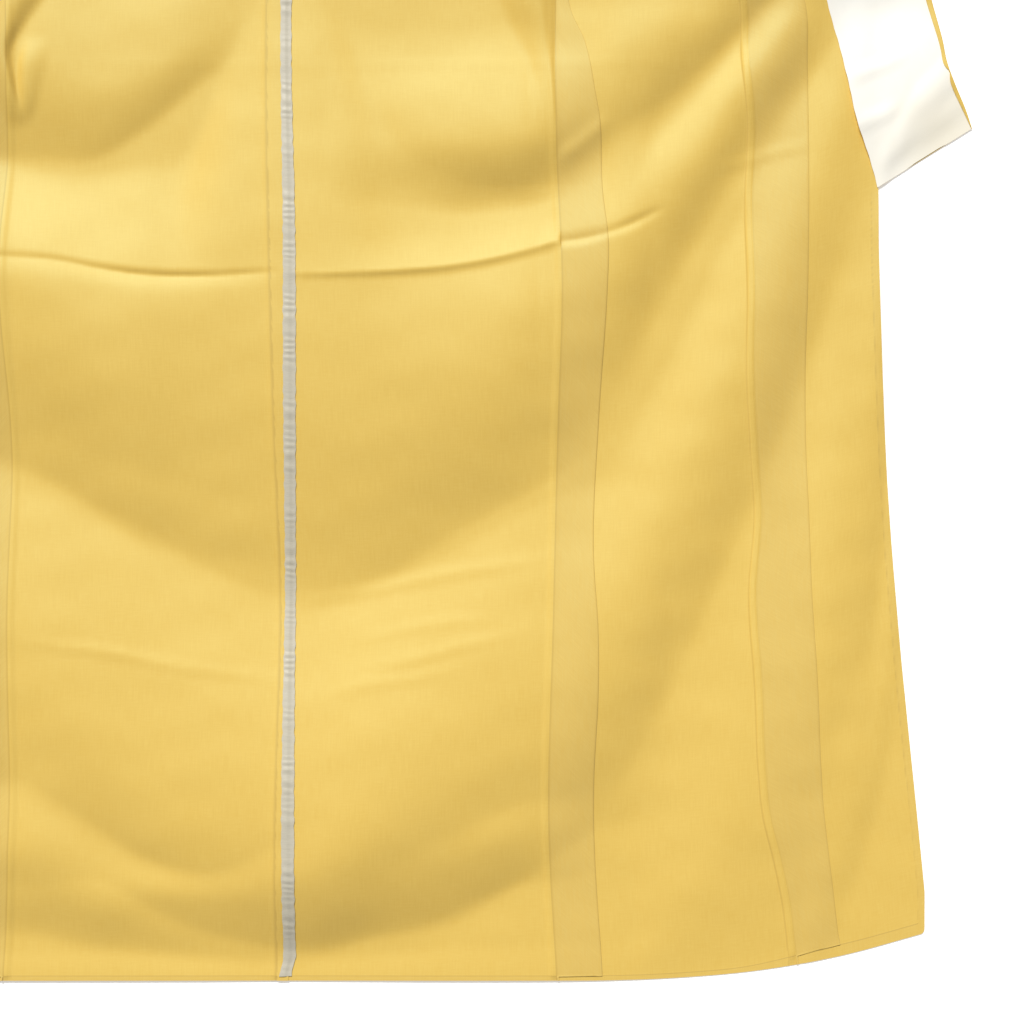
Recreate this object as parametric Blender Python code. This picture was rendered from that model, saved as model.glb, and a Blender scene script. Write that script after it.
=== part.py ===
# Unlined kimono opened out flat with its inside up, lying on a floor.
# Lengths are centimetres. x runs right from the centre back, y runs up from the hem, z rises from the floor.
# The plan of each half is worked out with x counted outward from the centre back, then mirrored by its hand.

import bmesh
import bpy
import numpy as np

CM = 0.01
CLOTH = 0.12
LINING = 0.10
TAPE = 0.10
GAP = 0.03

LEFT = -1
RIGHT = 1

# Levels of the layers that lie on each other near the shoulders, above the floor or a fold's surface
SHOULDER_LAYER = 0.32
FRONT_STACK = 0.85
STACK_START = 102.8
STACK_RUN = 5.2
STACK_SIDE_START = 28.8
STACK_SIDE_RUN = 2.6
STACK_CENTRE_START = 1.0
STACK_CENTRE_RUN = 8.0

HEM_BAND = 0.9
HEM_BAND_RISE = 0.12
HEM_BAND_STEP = 0.15
ROW_PITCH = 3.5
HEM_CURVE_REACH = 60.0

UNDERARM = (30.0, 119.0)
SHOULDER_POINT = (31.0, 153.0)
NECK_POINT = (8.5, 142.6)
NECK_CENTRE = (0.0, 143.5)
SHOULDER_FOLD_END = (7.6, 141.8)
SHOULDER_COLUMNS = 7
SHOULDER_ROWS = 3
ARMHOLE_ROWS = 9

# Where the cloth turns over, the face inside the turn is shifted by about the cloth's thickness
FLAT = (0.0, 0.0)
SHOULDER_TURN = (0.0, -0.13)
CREASE_TURN = (0.16, 0.0)

# Beside a seam the cloth climbs onto the allowances, in a flat ridge
SEAM_RIDGE = 0.9
SEAM_RIDGE_STEP = 0.2

SIDE_ALLOWANCE = 4.4
OVERLAP_ALLOWANCE = 5.6
OVERLAP_FULL_WIDTH = 13.0
FRONT_COLUMNS = 4

TAPE_WIDTH = 1.1

COLLAR_END_WIDTH = 10.7
COLLAR_NECK_WIDTH = 5.6
COLLAR_END_SLANT = 3.2
COLLAR_SLANT_RUN = 12.0
COLLAR_EDGE_TURN = 0.65
COLLAR_FULL_RUN = 25.0
COLLAR_LINING_SHOWN = 0.5
COLLAR_LINING_INSET = 0.1

SLEEVE_CUFF_TOP = (64.3, 156.5)
SLEEVE_CUFF_BOTTOM = (64.6, 109.6)
SLEEVE_BODY_BOTTOM = (31.3, 108.0)
SLEEVE_LENGTH = 33.5
SLEEVE_CORNER = 3.0
SLEEVE_COLUMNS = 12
SLEEVE_ROWS = 8

YELLOW = (0.80, 0.58, 0.16, 1.0)
YELLOW_OUTSIDE = (0.74, 0.53, 0.15, 1.0)
CREAM = (0.95, 0.92, 0.84, 1.0)
GREY = (0.60, 0.58, 0.53, 1.0)

# y, centre seam x, left side seam distance, right side seam distance
BACK_SEAMS = (
    (-0.5, -0.1, 29.6, 30.0),
    (16.0, 0.0, 28.7, 29.1),
    (40.0, 0.4, 28.8, 29.6),
    (60.0, -0.2, 28.6, 30.1),
    (75.0, -0.6, 29.5, 30.4),
    (90.0, -1.0, 29.0, 29.7),
    (105.0, -1.1, 28.9, 29.6),
    (119.0, -0.6, 30.0, 30.0),
)

# y, distance of the seam between front and overlap panel
OVERLAP_SEAM = (
    (-0.5, 55.7),
    (7.0, 54.9),
    (12.0, 53.9),
    (18.0, 52.5),
    (31.0, 51.9),
    (41.0, 51.3),
    (50.0, 51.8),
    (65.0, 51.1),
    (84.0, 50.9),
    (93.0, 51.1),
    (105.0, 50.2),
    (112.0, 47.6),
    (119.0, 43.9),
)

# y, distance of the overlap panel's outer edge: front edge to the collar's end, then the collar seam
OUTER_EDGE = (
    (4.5, 69.4),
    (20.0, 68.0),
    (36.0, 66.6),
    (55.0, 65.3),
    (70.0, 64.7),
    (84.3, 64.4),
    (88.2, 63.2),
    (93.3, 61.8),
    (98.4, 60.5),
    (105.0, 58.9),
    (112.0, 56.2),
    (119.0, 52.2),
)
COLLAR_END_Y = 84.3

# distance from the centre, y of the hem
HEM = (
    (0.0, -0.2),
    (30.0, -0.2),
    (34.0, -0.2),
    (43.0, 0.1),
    (51.7, 0.9),
    (60.2, 2.4),
    (69.5, 4.9),
)

# Above the underarm, one row each: front panel's outer edge x and y, overlap panel's outer edge x and y
UPPER_EDGES = (
    (40.6, 124.3, 47.0, 125.2),
    (37.2, 129.6, 41.0, 130.4),
    (34.2, 133.9, 34.8, 134.2),
    (28.4, 137.2, None, None),
    (22.4, 139.5, None, None),
    (16.2, 141.2, None, None),
    (10.2, 142.5, None, None),
)
OVERLAP_UPPER_ROWS = 3

# y, left edge of the tape that binds the centre back seam
TAPE_PATH = (
    (0.0, 0.6),
    (30.0, 0.65),
    (60.0, 0.75),
    (80.0, 0.7),
    (100.0, 0.25),
    (125.0, 0.5),
    (143.5, 0.6),
)

# Folds that run across: how far they reach above and below the crest, how sharply the foot meets
# the floor (1 sharp, 2 soft), then the crest as (x, y, height)
BACK_FOLDS = {
    "waist swag": (17, 26, 1.35, (
        (-42, 76.5, 0), (-33, 74, 1.8), (-27, 72.6, 2.9), (-19, 71.3, 2.8), (-10, 70.6, 2.4),
        (-4, 70, 1.9), (5, 67.5, 1.7), (11, 66.5, 2.1), (18.5, 67.8, 2.6), (26, 70.5, 2.5),
        (33, 73.2, 1.1), (42, 76.5, 0))),
    "waist crease left": (1.8, 1.2, 1.5, (
        (-40, 77.5, 0), (-31, 76.9, -0.3), (-17, 75.7, -0.3), (-9, 75.2, -0.2), (-1, 75.3, -0.15), (1, 75.3, 0))),
    "waist crease right": (4.6, 1.2, 1.2, (
        (0, 75.2, 0), (3, 75.5, 0.3), (13, 76.4, 0.5), (22, 77.8, 0.5), (29, 79, 0.35), (35, 80.2, 0.3),
        (42, 83, 0))),
    "upper left": (9, 7.6, 1.4, (
        (-38, 92, 0), (-30, 92.6, 1), (-25.4, 93.2, 1.4), (-18.9, 94.6, 1.4), (-13.6, 97, 1.4),
        (-9.5, 100.6, 1.1), (-6, 104.5, 0.6), (0, 110, 0))),
    "right shelf": (13, 7.2, 1.25, (
        (5, 89, 0), (11, 89.3, 0.6), (15, 89.2, 1.1), (18.5, 88.8, 1.5), (23, 88.6, 1.7),
        (26.5, 89.2, 1.6), (31, 90.9, 1), (38, 94, 0))),
    "hip swag": (30, 16, 1.3, (
        (-44, 40, 0), (-36, 36, 1.2), (-29.6, 33.8, 1.7), (-25.4, 31.5, 1.9), (-18.9, 26.5, 2.1),
        (-10.4, 20.5, 2.6), (-4, 18.4, 3), (4.6, 18.4, 3.2), (11, 20.7, 3.1), (18.5, 24.9, 2.8),
        (26, 28.2, 2.3), (33, 31, 1), (42, 34, 0))),
    "hip rise": (4.5, 4, 1.6, (
        (2, 41, 0), (8, 42.6, 0.3), (18.5, 42.5, 0.5), (26, 44, 0.5), (31, 45, 0.2), (36, 46, 0))),
    "hem swag": (5.5, 5.6, 1.15, (
        (-42, 14, 0), (-33, 13.4, 1.1), (-25.4, 12.8, 1.2), (-18.9, 10.4, 1), (-10.4, 9.2, 0.7), (-4, 9, 0.5),
        (4, 9.4, 0.4), (12, 12, 0))),
    "hem swag right": (4.5, 4.8, 1.3, (
        (8, 6.6, 0), (13.2, 8, 0.4), (18.5, 10.2, 0.6), (26, 13.2, 0.7), (31, 15.2, 0.3), (38, 17, 0))),
    "thigh ripple": (3.2, 4, 1.3, (
        (-30, 53, 0), (-20, 50, 0.3), (-10, 47.6, 0.4), (-3, 46.6, 0.35), (3, 45.5, 0))),
    "chest swag": (9, 7, 1.4, (
        (-28, 118, 0), (-21, 115.6, 1), (-12, 113.2, 1.9), (0, 112, 2.2), (12, 113, 2), (21, 115.4, 1.1),
        (28, 118, 0))),
    "shoulder swag": (7, 6.5, 1.4, (
        (-17, 129, 0), (-13, 127.6, 0.8), (-7, 126, 1.8), (0, 125.4, 2.1), (7, 125.9, 1.8), (13, 127.3, 0.8),
        (17, 129, 0))),
    "nape swag": (4, 4.5, 1.5, (
        (-9, 137.6, 0), (-4, 136.5, 0.8), (0, 136.3, 1), (4, 136.4, 0.8), (9, 137.4, 0))),
}

# The same for the fronts and sleeves, with x counted outward from the centre
FRONT_FOLDS = {
    "upper band": (8, 12.5, 1.5, (
        (27, 96.5, 0), (33, 99, 1.2), (36.7, 101.5, 1.7), (45.3, 104.2, 1.9), (52, 108, 1.2), (60, 112, 0))),
    "middle band": (8.5, 16, 1.5, (
        (28, 71, 0), (33.5, 75, 1), (36.7, 78.5, 1.7), (41, 84, 1.7), (45.3, 90, 1.7), (49.5, 95.3, 1.7),
        (53.8, 100.2, 1.6), (59.2, 105, 1), (67, 111, 0))),
    "lower band": (20, 19, 1.6, (
        (29, 31.5, 0), (34, 36.5, 1.1), (36.7, 41, 1.7), (45.3, 57.3, 1.8), (53.8, 75.5, 1.7),
        (59.2, 88, 0.9), (64, 99, 0))),
    "edge band": (22, 22, 1.8, (
        (38, 2, 0), (44.5, 12, 0.5), (49.5, 20.3, 0.8), (53.8, 27, 0.8), (61.3, 55.6, 0.8), (64, 72, 0.4),
        (66, 84, 0))),
    "corner band": (14, 10, 1.8, ((56, 6, 0), (60, 14.5, 0.4), (64, 26, 0.4), (67, 40, 0))),
    "hem lip": (4, 4, 1.6, (
        (-0.1, -1.5, 0.4), (20, -1.5, 0.5), (40, -1, 0.4), (55, 1.5, 0.3), (69, 4, 0.3), (72, 4.6, 0))),
    "sleeve fold": (9, 10, 1.6, ((32, 121, 0), (42, 127, 0.7), (54, 134, 1), (64, 139, 0.8), (74, 143, 0))),
}

# Folds that run down: reach left and right of the crest, then the crest as (y, x, height)
SEAM_PLEATS = {
    "left seam pleat": (2.2, 1.8, (
        (91.2, -28.2, 0), (92.4, -28.1, 0.9), (98.5, -27.9, 1.2), (106, -27.7, 1.3), (117, -27, 0))),
    "right seam pleat": (1.7, 2.2, (
        (90.4, 28.9, 0), (92.5, 28.9, 0.7), (98.5, 28.8, 1.1), (106, 28.8, 1.2), (117, 28.5, 0))),
}
LEFT_FOLD_SHIFT = 1.5
LEFT_FOLD_SCALE = 0.9


def ease(t):
    t = np.clip(t, 0, 1)
    return t * t * (3 - 2 * t)


def read_curve(at, table, column):
    """Smooth reading of one column of a table at places along its first column."""
    rows = np.array(table, float)
    place, value = rows[:, 0], rows[:, column]
    slope = np.gradient(value, place)
    at = np.clip(at, place[0], place[-1])
    k = np.clip(np.searchsorted(place, at) - 1, 0, len(place) - 2)
    step = place[k + 1] - place[k]
    u = (at - place[k]) / step
    blend = u * u * (3 - 2 * u)
    rise = (u ** 3 - 2 * u ** 2 + u) * slope[k] + (u ** 3 - u ** 2) * slope[k + 1]
    return value[k] + blend * (value[k + 1] - value[k]) + step * rise


def bump(offset, reach_up, reach_down, foot):
    """Cross-section of a fold: soft on its upper side, with its own foot on the lower."""
    u = np.where(offset > 0, offset / reach_up, -offset / reach_down)
    power = np.where(offset > 0, 2.0, foot)
    return np.clip(1 - u * u, 0, 1) ** power


def fold_across(x, y, fold):
    reach_up, reach_down, foot, crest = fold
    inside = (x >= crest[0][0]) & (x <= crest[-1][0])
    offset = y - read_curve(x, crest, 1)
    return inside * read_curve(x, crest, 2) * bump(offset, reach_up, reach_down, foot)


def fold_down(x, y, fold):
    reach_left, reach_right, crest = fold
    inside = (y >= crest[0][0]) & (y <= crest[-1][0])
    offset = x - read_curve(y, crest, 1)
    return inside * read_curve(y, crest, 2) * bump(offset, reach_right, reach_left, 1.5)


def fold_height(x, y):
    """How far the folds raise the cloth off the floor at plan points x, y."""
    height = sum(fold_across(x, y, fold) for fold in BACK_FOLDS.values())
    height = height + sum(fold_down(x, y, fold) for fold in SEAM_PLEATS.values())
    for fold in FRONT_FOLDS.values():
        right = fold_across(x, y, fold)
        left = LEFT_FOLD_SCALE * fold_across(-x, y - LEFT_FOLD_SHIFT, fold)
        height = height + np.where(x > 0, right, left)
    return np.maximum(height, 0)


def stack_height(x, y):
    """Fronts and collar rise over the sleeves and shoulders that lie under them."""
    out = np.abs(x)
    beside_seam = ease((out - STACK_SIDE_START) / STACK_SIDE_RUN)
    beside_seam = np.where(y < UNDERARM[1] - 0.5, beside_seam, 1)
    from_centre = ease((out - STACK_CENTRE_START) / STACK_CENTRE_RUN)
    return FRONT_STACK * ease((y - STACK_START) / STACK_RUN) * beside_seam * from_centre


def hem_y(out):
    return read_curve(np.abs(out), HEM, 1)


def row_heights():
    """Heights of the rows above the hem, shared by all the panels up to the underarm."""
    body = UNDERARM[1] - HEM_BAND - HEM_BAND_STEP
    count = round(body / ROW_PITCH)
    top = [HEM_BAND + HEM_BAND_STEP + body * i / count for i in range(count + 1)]
    near_collar = min(range(len(top)), key=lambda i: abs(top[i] - COLLAR_END_Y))
    top[near_collar] = COLLAR_END_Y
    return np.array([0.0, HEM_BAND] + top)


ROWS = row_heights()
COLLAR_ROW = int(np.argmin(np.abs(ROWS - COLLAR_END_Y)))


def on_row(out, row):
    """Point of a shared row: near the hem the rows follow the hem's curve."""
    level = ROWS[row]
    low = hem_y(out)
    return out, level + low * (1 - ease(level / HEM_CURVE_REACH))


class Wall:
    """A closed sheet of cloth, gathered from grids of points on its inner and outer faces."""

    def __init__(self, name, hand=RIGHT):
        self.name = name
        self.hand = hand
        self.inner = []
        self.outer = []
        self.quads = []

    def point(self, inner, outer):
        self.inner.append(inner)
        self.outer.append(outer)
        return len(self.inner) - 1

    def grid(self, ids, turned=False):
        """Faces between neighbouring rows of point numbers. A turned layer runs back over the one
        below it, and is split along the same diagonals."""
        for low, high in zip(ids, ids[1:]):
            for k in range(min(len(low), len(high)) - 1):
                quad = (low[k], low[k + 1], high[k + 1], high[k])
                self.quads.append(quad[1:] + quad[:1] if turned else quad)

    def build(self, material):
        count = len(self.inner)
        points = np.array(self.inner + self.outer)
        points[:, 0] *= self.hand
        edges = {(q[i], q[(i + 1) % 4]) for q in self.quads for i in range(4)}
        rim = [(b, a, a + count, b + count) for a, b in sorted(edges) if (b, a) not in edges]
        faces = []
        for a, b, c, d in self.quads:
            faces += [(a, b, c), (a, c, d)]
            faces += [(c + count, b + count, a + count), (d + count, c + count, a + count)]
        for a, b, c, d in rim:
            faces += [(a, b, c), (a, c, d)]
        mesh = bpy.data.meshes.new(self.name)
        mesh.from_pydata(points * CM, [], faces)
        work = bmesh.new()
        work.from_mesh(mesh)
        bmesh.ops.recalc_face_normals(work, faces=work.faces)
        work.to_mesh(mesh)
        work.free()
        mesh.shade_smooth()
        mesh.set_sharp_from_angle(angle=0.7)
        mesh.materials.append(material)
        piece = bpy.data.objects.new(self.name, mesh)
        bpy.context.collection.objects.link(piece)
        return piece


def cloth_material(name, colour, roughness):
    material = bpy.data.materials.new(name)
    material.use_nodes = True
    shader = material.node_tree.nodes["Principled BSDF"]
    shader.inputs["Base Color"].default_value = colour
    shader.inputs["Roughness"].default_value = roughness
    shader.inputs["Metallic"].default_value = 0.0
    return material


def floor_levels(points, hand, stacked=False):
    """Level of the cloth's lower face at plan points; fronts and collar are stacked, the rest is not."""
    plan = np.array(points, float)
    x, y = plan[:, 0] * hand, plan[:, 1]
    levels = fold_height(x, y)
    if stacked:
        levels = levels + stack_height(x, y)
    return list(levels)


def face_up(wall, out, y, level, thick=CLOTH, top_shift=FLAT, low_shift=FLAT):
    """Point of cloth that lies with the garment's inside up. Where it turns over, the face inside
    the turn is shifted in by the cloth's thickness."""
    top = (out + top_shift[0], y + top_shift[1], level + thick)
    low = (out + low_shift[0], y + low_shift[1], level)
    return wall.point(top, low)


def face_down(wall, out, y, level, top_shift=FLAT, low_shift=FLAT):
    """Point of cloth that is turned over, with the garment's inside down."""
    top = (out + top_shift[0], y + top_shift[1], level + CLOTH)
    low = (out + low_shift[0], y + low_shift[1], level)
    return wall.point(low, top)


def band_rise(row):
    return HEM_BAND_RISE if row < 2 else 0.0


def side_distance(y, hand):
    return float(read_curve(y, BACK_SEAMS, 2 if hand == LEFT else 3))


def centre_distance(y, hand):
    return float(read_curve(y, BACK_SEAMS, 1)) * hand


def between(start, end, t):
    return tuple(np.array(start) + (np.array(end) - np.array(start)) * t)


def back_columns(y, hand):
    """Distances of the back panel's columns, from the centre seam to the side seam."""
    centre = centre_distance(y, hand) + GAP / 2
    side = side_distance(y, hand) - GAP / 2
    neck = NECK_POINT[0]
    if hand == RIGHT:
        left = float(read_curve(y, TAPE_PATH, 1))
        inner = [centre, left, left + TAPE_WIDTH, 5.0]
    else:
        inner = [centre, neck / 3, neck * 2 / 3]
    plain = SHOULDER_COLUMNS - 2
    outer = [neck + (side - SEAM_RIDGE - neck) * i / plain for i in range(plain + 1)]
    return inner + outer + [side - SEAM_RIDGE + SEAM_RIDGE_STEP, side]


def back_row(row, hand):
    return [on_row(out, row) for out in back_columns(ROWS[row], hand)]


def shoulder_line(hand):
    """Points of the back panel's top: straight along the neck, then straight along the shoulder."""
    columns = back_columns(UNDERARM[1], hand)
    inner = columns[:-SHOULDER_COLUMNS - 1]
    inner[0] = GAP / 2
    points = [between(NECK_CENTRE, NECK_POINT, out / NECK_POINT[0]) for out in inner]
    for i in range(SHOULDER_COLUMNS + 1):
        points.append(between(NECK_POINT, SHOULDER_POINT, i / SHOULDER_COLUMNS))
    return points


def front_columns(y, hand):
    """Distances of the front panel's columns, from the side seam to the overlap seam."""
    side = side_distance(y, hand) + GAP / 2
    seam = float(read_curve(y, OVERLAP_SEAM, 1)) - GAP / 2
    start = side + SIDE_ALLOWANCE
    run = seam - SEAM_RIDGE - start
    plain = [start + run * i / FRONT_COLUMNS for i in range(FRONT_COLUMNS + 1)]
    return [side, side + SIDE_ALLOWANCE / 2] + plain + [seam - SEAM_RIDGE + SEAM_RIDGE_STEP, seam]


def crease_points(hand):
    """Fold along which the front turns over, from the underarm to the neck."""
    underarm = on_row(front_columns(ROWS[-1], hand)[0], len(ROWS) - 1)
    count = SHOULDER_COLUMNS
    return [between(underarm, SHOULDER_FOLD_END, i / count) for i in range(count + 1)]


def front_row(row, hand):
    """Points of one row of the front; past the underarm the rows fan out from the crease."""
    if row < len(ROWS):
        return [on_row(out, row) for out in front_columns(ROWS[row], hand)]
    columns = front_columns(ROWS[-1], hand)
    step = row - len(ROWS) + 1
    start = crease_points(hand)[step]
    end = UPPER_EDGES[step - 1][:2]
    return [between(start, end, (out - columns[0]) / (columns[-1] - columns[0])) for out in columns]


def overlap_row(row):
    """Points of one row of the overlap panel, from its seam to its outer edge."""
    if row < len(ROWS):
        seam = float(read_curve(ROWS[row], OVERLAP_SEAM, 1)) + GAP / 2
        edge = float(read_curve(ROWS[row], OUTER_EDGE, 1)) - GAP / 2
        start, end = (seam, 0), (edge, 0)
    else:
        seam, seam_y, edge, edge_y = UPPER_EDGES[row - len(ROWS)]
        start, end = (seam + GAP, seam_y), (edge, edge_y)
    width = edge - seam
    scale = min(1.0, width / OVERLAP_FULL_WIDTH)
    lap = OVERLAP_ALLOWANCE * scale
    band = (HEM_BAND + HEM_BAND_STEP) * scale
    distances = [0.0, lap / 2, lap, (lap + width - band) / 2, width - band, width - HEM_BAND * scale, width]
    points = [between(start, end, distance / width) for distance in distances]
    if row < len(ROWS):
        points = [on_row(out, row) for out, _ in points]
    return points


def sheet_row(wall, points, levels, thick, first_turn=FLAT):
    """A row of cloth with its inside up. At its first point the lower face may be drawn into a turn."""
    ids = []
    for (x, y), level in zip(points, levels):
        ids.append(face_up(wall, x, y, level, thick, low_shift=FLAT if ids else first_turn))
    return ids


def over(points, row, hand):
    """Levels of cloth that lies on a stacked panel at the given points."""
    return [level + CLOTH + band_rise(row) + GAP for level in floor_levels(points, hand, True)]


def body_panel(hand, material):
    """Back and front of one side: a single length of cloth that turns over at the shoulder."""
    wall = Wall("body_left" if hand == LEFT else "body_right", hand)
    top_row = len(ROWS) - 1

    # Back, climbing at its side seam onto the front, where its allowance lies
    back_rows = []
    for row in range(top_row + 1):
        points = back_row(row, hand)
        levels = floor_levels(points, hand)
        if row < top_row:
            points += front_row(row, hand)[1:3]
            levels[-2:] = over(points[-4:], row, hand)
        back_rows.append(sheet_row(wall, points, levels, CLOTH + band_rise(row)))
    shoulder = shoulder_line(hand)
    for i in range(1, ARMHOLE_ROWS + 1):
        ends = zip(back_row(top_row, hand), shoulder)
        points = [between(low, high, i / ARMHOLE_ROWS) for low, high in ends]
        turn = SHOULDER_TURN if i == ARMHOLE_ROWS else FLAT
        back_rows.append([face_up(wall, x, y, level, top_shift=turn)
                          for (x, y), level in zip(points, floor_levels(points, hand))])
    wall.grid(back_rows)

    # Front, spread out beside the back, climbing at its far seam onto the overlap panel
    front_rows = []
    for row in range(len(ROWS) + SHOULDER_COLUMNS):
        points = front_row(row, hand)
        levels = floor_levels(points, hand, True)
        if row < len(ROWS) + OVERLAP_UPPER_ROWS:
            points += overlap_row(row)[1:3]
            levels[-2:] = over(points[-4:], row, hand)
        turn = CREASE_TURN if row >= top_row else FLAT
        front_rows.append(sheet_row(wall, points, levels, CLOTH + band_rise(row), turn))
    wall.grid(front_rows)

    # Shoulder: the front turned down over the back, outside up, then back along the crease
    flap = [back_rows[-1][-SHOULDER_COLUMNS - 1:]]
    for k in range(SHOULDER_ROWS + 1):
        points = [between(top, low, k / SHOULDER_ROWS)
                  for top, low in zip(shoulder[-SHOULDER_COLUMNS - 1:], crease_points(hand)[::-1])]
        at_shoulder = SHOULDER_TURN if k == 0 else FLAT
        at_crease = CREASE_TURN if k == SHOULDER_ROWS else FLAT
        flap.append([face_down(wall, x, y, level + SHOULDER_LAYER, at_crease, at_shoulder)
                     for (x, y), level in zip(points, floor_levels(points, hand))])
    flap.append([row[0] for row in front_rows[:top_row - 1:-1]])
    wall.grid(flap)
    return wall.build(material)


def overlap_panel(hand, material):
    """Narrow panel between the front and its free edge, tapering to a point at the collar."""
    wall = Wall("overlap_left" if hand == LEFT else "overlap_right", hand)
    rows = []
    for row in range(len(ROWS) + OVERLAP_UPPER_ROWS):
        points = overlap_row(row)
        ids = []
        for k, level in enumerate(floor_levels(points, hand, True)):
            in_band = row < 2 or (k > 4 and row <= COLLAR_ROW)
            thick = CLOTH + (HEM_BAND_RISE if in_band else 0.0)
            ids.append(face_up(wall, *points[k], level, thick))
        rows.append(ids)
    wall.grid(rows)
    return wall.build(material)


def collar_seam():
    """Points of the collar's seam on one side, from its end to the centre of the neck."""
    points = []
    for row in range(COLLAR_ROW, len(ROWS)):
        points.append(overlap_row(row)[-1])
    points += [edge[2:] for edge in UPPER_EDGES[:3]]
    points += [edge[:2] for edge in UPPER_EDGES[3:]]
    points.append(NECK_POINT)
    points.append(between(NECK_POINT, NECK_CENTRE, 0.5))
    points.append(NECK_CENTRE)
    return np.array(points)


def collar_sections():
    """Rows of the collar: seam point, direction outward, width, and how much of its edge turns in."""
    half = collar_seam()
    mirrored = half[-2::-1] * (-1, 1)
    path = np.vstack([half, mirrored])
    step = np.gradient(path, axis=0)
    step /= np.hypot(step[:, 0], step[:, 1])[:, None]
    outward = np.column_stack([step[:, 1], -step[:, 0]])
    run = np.concatenate([[0], np.cumsum(np.hypot(*np.diff(path, axis=0).T))])
    from_end = np.minimum(run, run[-1] - run)
    half_run = run[-1] / 2
    narrowing = ease((from_end - COLLAR_FULL_RUN) / (half_run - COLLAR_FULL_RUN))
    width = COLLAR_END_WIDTH + (COLLAR_NECK_WIDTH - COLLAR_END_WIDTH) * narrowing
    turn = COLLAR_EDGE_TURN + (width - COLLAR_LINING_SHOWN - COLLAR_EDGE_TURN) * narrowing
    slant = COLLAR_END_SLANT * ease(1 - from_end / COLLAR_SLANT_RUN)
    sign = np.where(run < half_run, 1, -1)
    reach = outward * width[:, None] + step * (slant * sign)[:, None]
    return path + outward * GAP, reach, width, turn


def lift(spot, height):
    return spot[0], spot[1], spot[2] + height


def collar(material, lining_material):
    """Wide collar lying open, with its lining up and its free edge turned in over the lining."""
    path, reach, width, turn = collar_sections()
    band = Wall("collar")
    lining = Wall("collar_lining")
    band_rows = []
    lining_rows = []
    under_turn = CLOTH + LINING + 2 * GAP
    for start, across, wide, turned in zip(path, reach, width, turn):
        open_width = wide - turned
        lining_edge = min(COLLAR_LINING_INSET, open_width / 6)
        columns = [0.0, open_width / 3, open_width * 2 / 3, open_width, wide - turned / 2, wide]
        columns += [wide - CLOTH, lining_edge, wide - CLOTH - GAP]
        points = [tuple(start + across * distance / wide) for distance in columns]
        levels = floor_levels(points, RIGHT, True)
        spots = [(x, y, level) for (x, y), level in zip(points, levels)]
        edge, edge_inside, lining_start, lining_end = spots[5:]

        ids = [face_up(band, *spot) for spot in spots[:5]]
        ids.append(band.point(lift(edge_inside, CLOTH), edge))
        ids.append(band.point(lift(edge_inside, under_turn), lift(edge, under_turn + CLOTH)))
        ids += [face_down(band, *lift(spot, under_turn)) for spot in (spots[4], spots[3])]
        band_rows.append(ids)

        on_band = [lining_start] + spots[1:5] + [lining_end]
        lining_rows.append([face_up(lining, *lift(spot, CLOTH + GAP), LINING) for spot in on_band])
    band.grid([ids[:-2] for ids in band_rows])
    band.grid([ids[-3:] for ids in band_rows], turned=True)
    lining.grid(lining_rows)
    return band.build(material), lining.build(lining_material)


def sleeve(hand, material):
    """Sleeve lying flat with its outside up: a flattened tube, open at the body and at the cuff."""
    wall = Wall("sleeve_left" if hand == LEFT else "sleeve_right", hand)
    body_top = np.array(SHOULDER_POINT) + (GAP, 0)
    plain = 1 - SLEEVE_CORNER / SLEEVE_LENGTH
    steps = [plain * i / SLEEVE_ROWS for i in range(SLEEVE_ROWS + 1)]
    steps += [(1 + 2 * plain) / 3, (3 + plain) / 4, 1.0]
    low_rows = []
    top_rows = []
    for t in steps:
        top = between(body_top, SLEEVE_CUFF_TOP, t)
        low = between(SLEEVE_BODY_BOTTOM, SLEEVE_CUFF_BOTTOM, t)
        into_corner = max(0.0, SLEEVE_CORNER - (1 - t) * SLEEVE_LENGTH)
        round_off = SLEEVE_CORNER - np.sqrt(SLEEVE_CORNER ** 2 - into_corner ** 2)
        low = (low[0], low[1] + round_off)
        points = [between(low, top, i / SLEEVE_COLUMNS) for i in range(SLEEVE_COLUMNS + 1)]
        low_ids = []
        top_ids = []
        for (x, y), level in zip(points, floor_levels(points, hand)):
            inner_y = np.clip(y, low[1] + CLOTH, top[1] - CLOTH)
            low_ids.append(wall.point((x, inner_y, level + CLOTH), (x, y, level)))
            upper = level + SHOULDER_LAYER
            top_ids.append(wall.point((x, inner_y, upper), (x, y, upper + CLOTH)))
        low_rows.append(low_ids)
        top_rows.append(top_ids[::-1])
    wall.grid(low_rows)
    wall.grid(top_rows, turned=True)
    wall.grid([[low[-1], top[0]] for low, top in zip(low_rows, top_rows)])
    wall.grid([[top[-1], low[0]] for low, top in zip(low_rows, top_rows)])
    return wall.build(material)


def seam_tape(material):
    """Binding tape that covers the raw edges of the centre back seam."""
    wall = Wall("back_seam_tape")
    top_row = len(ROWS) - 1
    rows = []
    for row in range(1, top_row + 1):
        points = back_row(row, RIGHT)[1:3]
        levels = [level + CLOTH + band_rise(row) + GAP for level in floor_levels(points, RIGHT)]
        rows.append(sheet_row(wall, points, levels, TAPE))
    low_ends = back_row(top_row, RIGHT)[1:3]
    high_ends = shoulder_line(RIGHT)[1:3]
    for i in range(1, ARMHOLE_ROWS + 1):
        points = [between(low, high, i / ARMHOLE_ROWS) for low, high in zip(low_ends, high_ends)]
        levels = [level + CLOTH + GAP for level in floor_levels(points, RIGHT)]
        rows.append(sheet_row(wall, points, levels, TAPE))
    wall.grid(rows)
    return wall.build(material)


def stand_on_origin(pieces):
    """Slide the garment so that the origin is under the middle of its outline."""
    ys = [corner.co.y for piece in pieces for corner in piece.data.vertices]
    middle = (min(ys) + max(ys)) / 2
    for piece in pieces:
        for corner in piece.data.vertices:
            corner.co.y -= middle


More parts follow.
